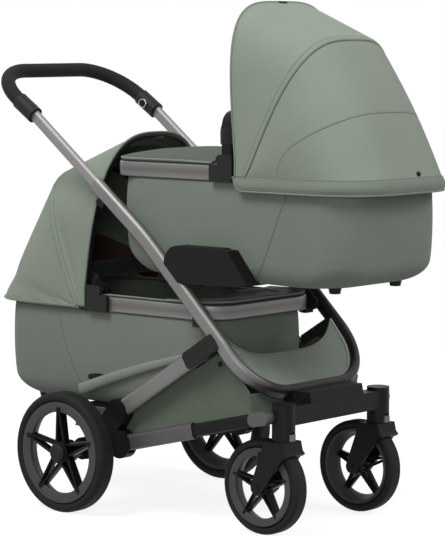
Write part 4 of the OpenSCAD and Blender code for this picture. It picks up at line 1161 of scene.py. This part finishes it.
def dress_liner(cot):
    """Rows from above the mattress up to the rim's top, drawn in half way up by a rippling depth."""
    foot, head = cot.tub_foot + LINER_END, cot.tub_head - LINER_END
    loop = cot_loop(foot, head, cot.half - LINER_IN, LINER_FOOT_R, TUB_HEAD_R, RIM_COLUMNS)
    z = np.linspace(cot.base + LINER_FROM, -LINER_DOWN, LINER_ROWS)
    points = carried(loop, np.column_stack([0 * z, z]))
    outward = unit((points - [cot.length / 2, 0, 0]) * [1, 1, 0])
    around = np.linspace(0, 2 * np.pi, RIM_COLUMNS)
    bow = LINER_RIPPLE * np.sin(np.linspace(0, np.pi, LINER_ROWS))
    drawn_in = bow[:, None] * (1.2 + np.sin(around * 23) * 0.5)
    world = cot.world(points - outward * drawn_in[..., None])
    middle = cot.world([cot.length / 2, 0, cot.base / 2])
    wall = surface(cot.name + "_liner", world, cot.body, [liner_cloth], middle, wrap=True,
                   wall=LINER_WALL)
    roll = tube(cot.name + "_liner_roll", world[-1] + [0, 0, LINER_ROLL_UP], LINER_ROLL, cot.body,
                plain_sage, around=8)
    return wall, [roll], grid_size(points)


liners = {cot.name: dress_liner(cot) for cot in COTS}
print("linings:", {name: [round(side, 3) for side in liner[2]] for name, liner in liners.items()})

# %% [markdown]
# ## Mattresses
# Each cot holds a thin mattress. It is a crowned pad that fills the tub's floor, with rows of sewn
# channels across it. Seen from above it is a superellipse, and its rows go from the middle of the
# underside round the edge and over the top. A simulated cushion would look the same under the hood and
# the apron, so a formula is enough.

# %% Mattresses
PAD_SHRINK, PAD_LEVEL = [0, 0.75, 0.94, 0.97, 0.985, 0.985, 0.97], [0, 0, 0, 0.06, 0.3, 0.62, 0.82]
PAD_POWER = 0.36
PAD_TOP_ROWS = 24
CHANNEL_PITCH, CHANNEL_DEPTH = 0.055, 0.0022


def dress_mattress(cot):
    """Shrunken copies of the outline, stacked by their share of the mattress's height."""
    low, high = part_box(cot.name + "_mattress")
    size, centre = np.array(high - low), np.array(low + high) / 2
    angle = np.linspace(0, 2 * np.pi, 161)
    circle = np.column_stack([np.cos(angle), np.sin(angle)])
    ring = np.sign(circle) * np.abs(circle) ** PAD_POWER * size[:2] / 2
    shrink = np.concatenate([PAD_SHRINK, np.linspace(0.94, 0, PAD_TOP_ROWS)])
    level = np.concatenate([PAD_LEVEL, 0.88 + 0.12 * np.sin(np.linspace(0, np.pi / 2, PAD_TOP_ROWS))])
    plan = shrink[:, None, None] * ring[None]
    points = np.dstack([plan, np.broadcast_to(level[:, None] * size[2], plan.shape[:2])])
    channel = np.abs(np.cos(points[..., 0] * np.pi / CHANNEL_PITCH)) ** 14
    points[..., 2] -= (points[..., 2] > 0.8 * size[2]) * CHANNEL_DEPTH * channel
    points += [centre[0], centre[1], low.z]
    return surface(cot.name + "_mattress_pad", points, cot.body, [lining], wrap=True,
                   replaces=[cot.name + "_mattress"])


pads = [dress_mattress(cot) for cot in COTS]
print("pads:", [pad.name for pad in pads])

# %% [markdown]
# ## Basket
# The basket is a cloth tray that hangs between the legs and the rails. Its side panels end along the
# legs; above them a stuffed band runs from the rear up to the leg brackets, and one looks through the
# gap between them into the dark inside. The tray is a row of U-shaped sections, from the rear to the
# front, whose sides ripple and hang in a little. Its thickness comes from a Solidify modifier, which
# also gives the inside its darker cloth.

# %% Basket tray
basket_low, basket_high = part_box("basket")
hinge_x, hinge_z = joints["chassis_fold"]["pos_m"][0], joints["chassis_fold"]["pos_m"][2]
BASKET_HALF = basket_high.y - 0.0015
LEG_SLOPE = math.radians(32.2)
FRONT_SLOPE = math.radians(50)
LEG_GAP, HINGE_GAP = 0.006, 0.002
FRONT_FROM = 0.062
SIDE_LEAST = 0.055
TRAY_UP, TRAY_FLAT, TRAY_RISE = 0.004, 0.34, 0.115
BASKET_RIPPLE = 0.0012
BASKET_HEM, BASKET_WALL = 0.012, 0.0018


def basket_sheet():
    """Stations from the rear to the front; at each, a U down the left side, over the floor and up again.
    The top follows the leg, the hinge and a slope to the front; the floor rises there."""
    back, front = basket_low.x, basket_high.x
    rear, rest = np.linspace(back + 0.001, back + 0.012, 4), np.linspace(back + 0.024, front - 0.002, 60)
    x = np.concatenate([rear, rest])
    share = (x - back) / (front - back)
    leg = hinge_z - (hinge_x - x) * math.tan(LEG_SLOPE) - LEG_GAP
    past = hinge_z - HINGE_GAP - np.maximum(x - hinge_x - FRONT_FROM, 0) * math.tan(FRONT_SLOPE)
    top = np.minimum(np.minimum(np.maximum(leg, basket_low.z + SIDE_LEAST), hinge_z - HINGE_GAP), past)
    floor_z = basket_low.z + TRAY_UP + np.maximum(share - TRAY_FLAT, 0) * TRAY_RISE
    q = np.concatenate([np.linspace(0, 1, 26), np.linspace(1, 2, 42)[1:-1], np.linspace(2, 3, 26)])
    drop, run = np.clip(np.minimum(q, 3 - q), 0, 1), np.clip(q - 1, 0, 1)
    wall_y = np.sign(1.5 - q) * (1 - 0.02 * np.sin(np.pi * drop))
    y = BASKET_HALF * np.where(drop < 1, wall_y, np.cos(np.pi * run))
    z = top[:, None] + (floor_z - top)[:, None] * drop[None]
    ripple = BASKET_RIPPLE * np.sin(52 * x[:, None] + 60 * z) * np.sin(np.pi * drop)[None]
    y = y[None] - np.sign(y)[None] * np.abs(ripple)
    return np.dstack([np.broadcast_to(x[:, None], z.shape), y, z])


def end_wall(name, edge):
    """A panel that closes a U: straight lines join its left half to its right half."""
    half = len(edge) // 2
    panel = lerp(edge[:half], edge[::-1][:half], np.linspace(0, 1, 24)).transpose(1, 0, 2)
    return surface(name, panel, "chassis", [basket_cloth, lining], basket_middle,
                   wall=BASKET_WALL)


basket_cloth = cloth("basket_side_cloth", OLIVE, OLIVE_LIGHT, hems=[lambda along, down: along - BASKET_HEM])
tray = basket_sheet()
basket_middle = np.array([(basket_low.x + basket_high.x) / 2, 0, basket_low.z + 0.08])
basket = surface("basket_tray", tray, "chassis", [basket_cloth, lining], basket_middle,
                 wall=BASKET_WALL, replaces=["basket"])
basket_parts = [end_wall("basket_rear_wall", tray[0]), end_wall("basket_front_wall", tray[-1])]
print("basket:", tray.shape)

# %% Basket bands
STUFFED_POINTS = 60
STUFFED_REAR, STUFFED_FRONT, STUFFED_FLAT = 0.0145, 0.0085, 0.55
STUFFED_BOW, STUFFED_IN = 0.006, 0.006
STUFFED_FROM, STUFFED_FROM_Z = 0.014, 0.272
STUFFED_SHORT, STUFFED_UNDER = 0.040, 0.012


def band_path(out):
    """The stuffed band's line on one side: from the rear corner up to the leg bracket, bowed upwards."""
    start = np.array([basket_low.x + STUFFED_FROM, 0, STUFFED_FROM_Z])
    end = np.array([hinge_x - STUFFED_SHORT, 0, hinge_z - STUFFED_UNDER])
    path = lerp(start, end, np.linspace(0, 1, STUFFED_POINTS))
    path[:, 2] += STUFFED_BOW * np.sin(np.linspace(0, np.pi, STUFFED_POINTS))
    path[:, 1] = out * (BASKET_HALF - STUFFED_IN)
    return path


thick = np.linspace(STUFFED_REAR, STUFFED_FRONT, STUFFED_POINTS)
for word, out in SIDES.items():
    stuffed = tube("basket_band_" + word, band_path(out), thick, "chassis", plain_sage,
                   side=(0, 1, 0), around=18, squash=STUFFED_FLAT)
    basket_parts.append(stuffed)
print("basket parts:", [piece.name for piece in basket_parts])

# %% [markdown]
# ## Footwell sling
# A sheet of sage cloth is laced into the front loop. Its sides and front follow the inside of the tube,
# with a pale piping between, and its free upper edge hangs down in the middle like a hammock. So the
# grid runs from that hanging edge to the loop, and every point sags away from the loop's plane by how
# far it is from the tube.

# %% Footwell
panel_low, panel_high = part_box("footwell_panel")
LOOP_CORNER = 0.109
SLING_FROM, SLING_HANG = 0.012, 0.060
SLING_SAG, SLING_RIPPLE = 0.016, 0.0010
SLING_WALL = 0.0020
SLING_PIPING, SLING_HEM = 0.0030, 0.0022
SLING_UNDER = (0.1, 0, 0.1)


def sling_sheet():
    """Rows from the free edge to the loop: each point has a depth down the loop's plane and a Y."""
    length, half = (panel_high.z - panel_low.z) / math.sin(FRONT_SLOPE), panel_high.y
    corners = [(SLING_FROM, -half), (length, -half), (length, half), (SLING_FROM, half)]
    loop = resample(rounded(corners, [LOOP_CORNER, LOOP_CORNER]), 121)
    side = np.linspace(-1, 1, 121)
    free = np.column_stack([SLING_FROM + SLING_HANG * (1 - np.abs(side) ** 4), half * side])
    k = np.linspace(0, 1, 40)
    down, y = np.moveaxis(lerp(free, loop, k), -1, 0)
    sag = SLING_SAG * (1 - np.abs(side) ** 3)[None] * (1 - k**2.2)[:, None] ** 0.8
    away = sag + SLING_RIPPLE * np.sin(26 * side)[None] * np.sin(np.pi * k)[:, None]
    x = panel_low.x + down * math.cos(FRONT_SLOPE) - away * math.sin(FRONT_SLOPE)
    z = panel_high.z - down * math.sin(FRONT_SLOPE) - away * math.cos(FRONT_SLOPE)
    return np.dstack([x, y, z])


sling_grid = sling_sheet()
sling_cloth = cloth("footwell_cloth", SAGE, SAGE_LIGHT)
sling = surface("footwell_sling", sling_grid, "chassis", [sling_cloth, lining], SLING_UNDER,
                wall=SLING_WALL, replaces=["footwell_panel"])
piping_cloth = cloth("piping_cloth", (0.30, 0.32, 0.29), (0.40, 0.42, 0.39))
sling_parts = [tube("footwell_piping", sling_grid[-1], SLING_PIPING, "chassis", piping_cloth),
               tube("footwell_hem", sling_grid[0], SLING_HEM, "chassis", plain_sage)]
print("sling:", sling_grid.shape)

# %% [markdown]
# ## Wheels
# A wheel is moulded: a dark grey ring carries the tyre, and five black spokes taper from the hub onto
# its face. Each is a pair of ribs with a slot between them. A ring or a hub is a section turned about
# the axle; a rib is a rounded section. The front ribs are shallower, so that they pass the forks. One
# rib could be copied round the axle with a modifier; here each is worked out at its own angle, so that
# hub and ribs are one mesh.

# %% Wheels
SPOKES = 5
MOULD_R = 0.002


def turned(centre, section, count=97):
    """A section, pairs of radius and place along the axle, turned about the axle through centre."""
    angle = np.linspace(0, 2 * np.pi, count)[None]
    radius, along = section[:, :1], section[:, 1:]
    x, z = centre[0] + radius * np.cos(angle), centre[2] + radius * np.sin(angle)
    return np.dstack([x, centre[1] + along + 0 * angle, z])


def closed_section(corners, radius):
    """A section with every corner rounded: it starts and ends in the middle of its first side."""
    corners = np.array(corners, float)
    start = (corners[0] + corners[1]) / 2
    loop = [start, *corners[1:], corners[0], start]
    return rounded(loop, [radius] * len(corners), 6)


def rib_grid(centre, angle, inner, outer, apart, wide, depth, face):
    """One of a spoke's two ribs, as loops from the hub to the ring: they start apart and meet on it."""
    turn = np.linspace(0, 2 * np.pi, 25)
    across = np.sign(np.cos(turn)) * np.abs(np.cos(turn)) ** 0.5
    along = np.sign(np.sin(turn)) * np.abs(np.sin(turn)) ** 0.5
    k = np.linspace(0, 1, 14)[:, None]
    radius, half = inner + (outer - inner) * k, wide * (1 - 0.3 * k)
    shift = apart * (1 - k) + math.copysign(0.4 * wide, apart) + half * across
    x = centre[0] + radius * math.cos(angle) - shift * math.sin(angle)
    z = centre[2] + radius * math.sin(angle) + shift * math.cos(angle)
    level = np.where(along > 0, (0.72 + 0.34 * k) * along, (0.10 + 0.55 * k) * -along - 0.10 * (1 - k))
    return np.dstack([x, centre[1] + face * (0.001 + depth * level), z])


def dress_wheel(axle, word, hub_r, apart, wide, deep):
    """One wheel: the ring with its sloping face, and in one piece the hub and its ribs."""
    body, node = f"{axle}_wheel_{word}", f"{axle}_rim_{word}"
    low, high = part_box(node)
    centre, outer = np.array(low + high) / 2, float(high.z - low.z) / 2
    half, face = float(high.y - low.y) / 2, math.copysign(1, centre[1])
    inner, bore = outer * 0.80, hub_r * 0.42
    ring_corners = [(inner, half * 0.45), (inner, half * 0.88), (outer, half * 0.98), (outer, -half * 0.9),
                    (outer * 0.92, -half * 0.8)]
    hub_corners = [(bore, -half), (bore, half), (hub_r, half), (hub_r, -half)]
    ring = turned(centre, closed_section(np.array(ring_corners) * [1, face], MOULD_R))
    hub = turned(centre, closed_section(hub_corners, MOULD_R))
    angles = np.pi / 2 + np.arange(SPOKES) * 2 * np.pi / SPOKES
    ribs = [rib_grid(centre, angle, hub_r * 0.8, outer * 0.9, edge, wide, half * deep, face)
            for angle in angles for edge in (apart, -apart)]
    surface(body + "_ring", ring, body, [wheel_grey], wrap=True, replaces=[node])
    surface(body + "_spokes", [hub, *ribs], body, [spoke_black], wrap=True)


for word in SIDES:
    dress_wheel("rear", word, hub_r=0.026, apart=0.0105, wide=0.0046, deep=1.0)
    dress_wheel("front", word, hub_r=0.020, apart=0.0075, wide=0.0036, deep=0.88)
print("wheels: rings and", SPOKES, "spokes each")

# %% [markdown]
# ## Carry handles
# Each cot has a carry handle that folds towards the hood. It is padded: a soft sleeve is zipped over its
# moulded loop. The sleeve's flattened circle follows the loop from one leg to the other. The circle's
# size changes a little on the way, as stuffing does.

# %% Carry handles
LEAN = {"upper": 0.0, "lower": math.radians(70)}
SLEEVE_T, SLEEVE_W = 0.0090, 0.0220
LEG_FOOT, LEG_CORNER, LEG_IN = 0.022, 0.048, 0.006
TAPER_FROM, TAPER_TO = -0.02, 0.03


def sleeve_path(cot):
    """The middle line of the handle's loop: up one leg, across, down the other, leaned to the hood."""
    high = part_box("upper_carry_handle")[1]
    reach = float(high.z) - joints["upper_carry_swing"]["pos_m"][2] - LEG_IN
    half = float(high.y) - LEG_IN
    corners = [(LEG_FOOT, half), (reach, half), (reach, -half), (LEG_FOOT, -half)]
    flat = resample(rounded(corners, [LEG_CORNER, LEG_CORNER]), 160)
    lean = np.array([math.sin(LEAN[cot.name]) * cot.turn, 0, math.cos(LEAN[cot.name])])
    pivot = np.array(joints[cot.name + "_carry_swing"]["pos_m"])
    return pivot + flat[:, :1] * lean + flat[:, 1:] * [0, 1, 0], lean


def dress_handle(cot):
    """The sleeve: its thickness swells and shrinks a little along the loop and tapers at both ends."""
    path, lean = sleeve_path(cot)
    across = np.cross(lean, [0, 1, 0])
    share = np.linspace(0, 1, len(path))
    taper = smoothstep(TAPER_FROM, TAPER_TO, np.minimum(share, 1 - share))
    thick = SLEEVE_T * (1 + 0.05 * np.sin(share * 40) * np.sin(share * 13)) * taper
    return tube(cot.name + "_handle_sleeve", path, thick, cot.name + "_carry", black_webbing,
                side=across, around=20, squash=SLEEVE_W / SLEEVE_T)


sleeves = [dress_handle(cot) for cot in COTS]
print("sleeves:", [sleeve.name for sleeve in sleeves])

# %% [markdown]
# ## Small fittings
# A short black loop of webbing sits at the middle of each hood's front edge, for pulling it forward.
# Oval black sockets on the lower tub take the side tubes' pegs, poppers hold the basket, bright rings
# edge the handle's buttons and a snap closes the upper hood's back. All of these are small rolls, domes
# and a ball, so one grid each is enough.

# %% Hood loops
HOOD_LOOP_AT = {"upper": (0.004, 0.0, -0.0024), "lower": (0.010, 0.0, -0.015)}
HOOD_LOOP_R = 0.0042


def hood_loop(cot, sheet):
    """A roll along a few points in the middle of the hood's front edge, moved by its own offset."""
    first = ACROSS // 2 - 2
    edge = resample(cot.world(sheet[0])[first : first + 5], 12)
    tube(cot.name + "_hood_loop", edge + HOOD_LOOP_AT[cot.name], HOOD_LOOP_R, bow_blend(cot),
         black_webbing, side=EDGE_SIDE)


hood_loop(upper, upper_sheet)
hood_loop(lower, lower_sheet)
print("hood loops:", list(HOOD_LOOP_AT))

# %% Sockets, poppers, rings and snap
SOCKET_W, SOCKET_H, SOCKET_T = 0.072, 0.019, 0.0035
POPPER_D, POPPER_T = 0.012, 0.0022
SOCKET_OUT, POPPER_OUT, RING_OUT = 0.002, 0.0006, 0.0002
RING_R = 0.0014
SNAP, SNAP_R = np.array([0.5660, 0.027, 0.801]), 0.0055
socket_at = lower.world([0.360, 0, -0.193])
popper_at = np.array([0.188, 0, 0.372])


def dome(centre, width, height, depth, out):
    """A low oval button on the side of a piece: out is 1 on the left side and -1 on the right."""
    angle, share = np.linspace(0, 2 * np.pi, 49), np.array([1.0, 1.0, 0.94, 0.8, 0.5, 0.0])[:, None]
    rise = np.array([-0.6, 0.4, 0.75, 0.92, 0.98, 1.0])[:, None] * depth
    x, z = centre[0] + share * np.cos(angle) * width / 2, centre[2] + share * np.sin(angle) * height / 2
    return np.dstack([x, np.broadcast_to(centre[1] + out * rise, x.shape), z])


def ball(centre, radius):
    """A small ball: rings of latitude from pole to pole."""
    up, turn = np.linspace(-np.pi / 2, np.pi / 2, 13)[:, None], np.linspace(0, 2 * np.pi, 25)[None]
    sphere = np.dstack([np.cos(up) * np.cos(turn), np.cos(up) * np.sin(turn), np.sin(up) + 0 * turn])
    return centre + radius * sphere


def handle_ring(word, out):
    """A thin oval roll round the inner end of a handle button."""
    low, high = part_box("handle_button_" + word)
    turn = np.linspace(0, 2 * np.pi, 49)
    middle, size = np.array(low + high) / 2, np.array(high - low) / 2
    y = np.full(len(turn), middle[1] - out * (size[1] + RING_OUT))
    ring = np.column_stack([middle[0] + size[0] * np.cos(turn), y, middle[2] + size[2] * np.sin(turn)])
    tube("handle_ring_" + word, ring, RING_R, "handle", silver, side=(0, 1, 0))


for word, out in SIDES.items():
    socket = dome(socket_at + [0, out * (lower.tub_half + SOCKET_OUT), 0], SOCKET_W, SOCKET_H, SOCKET_T, out)
    surface("lower_socket_" + word, socket, "lower_cot", [black_plastic], socket_at,
            wrap=True)
    popper = dome(popper_at + [0, out * (BASKET_HALF + POPPER_OUT), 0], POPPER_D, POPPER_D, POPPER_T, out)
    surface("basket_popper_" + word, popper, "chassis", [black_plastic], popper_at,
            wrap=True)
for word, out in SIDES.items():
    handle_ring(word, out)
surface("upper_hood_snap", ball(SNAP, SNAP_R), "upper_cot", [black_plastic], SNAP,
        wrap=True)
print("fittings: sockets, poppers, rings and a snap")

# %% [markdown]
# ## The cloth's cut sizes
# A hood is cut from a rectangle as long as its lower edge; what isn't a rectangle gives its own area.

# %% Sheets and pads


def mesh_area(piece):
    """The area of a piece's outer face, in square metres."""
    area = np.zeros(len(piece.data.polygons))
    piece.data.polygons.foreach_get("area", area)
    return float(area.sum())


def declare(piece, flat):
    """Prints the rectangle that a sheet is cut from, grown to be at least as large as the piece itself."""
    area = mesh_area(piece)
    grow = max(1.0, math.sqrt(area / (flat[0] * flat[1])) * 1.001)
    flat = flat[0] * grow, flat[1] * grow
    wide, deep = round(flat[0], 3), round(flat[1], 3)
    print(piece.name, "was cut from", wide, "x", deep, "m, area", round(area, 3), "m2")


for cot in COTS:
    name = cot.name
    cover, sewn_on, flat = hoods[name]
    declare(cover, flat)
    declare(tubs[name][0], tubs[name][1:])
    declare(liners[name][0], liners[name][2])
    declare(aprons[name][0], (2 * cot.half, aprons[name][2]))
declare(basket, grid_size(tray))
declare(sling, grid_size(sling_grid))
print("padded pieces:", len(pads + sleeves))
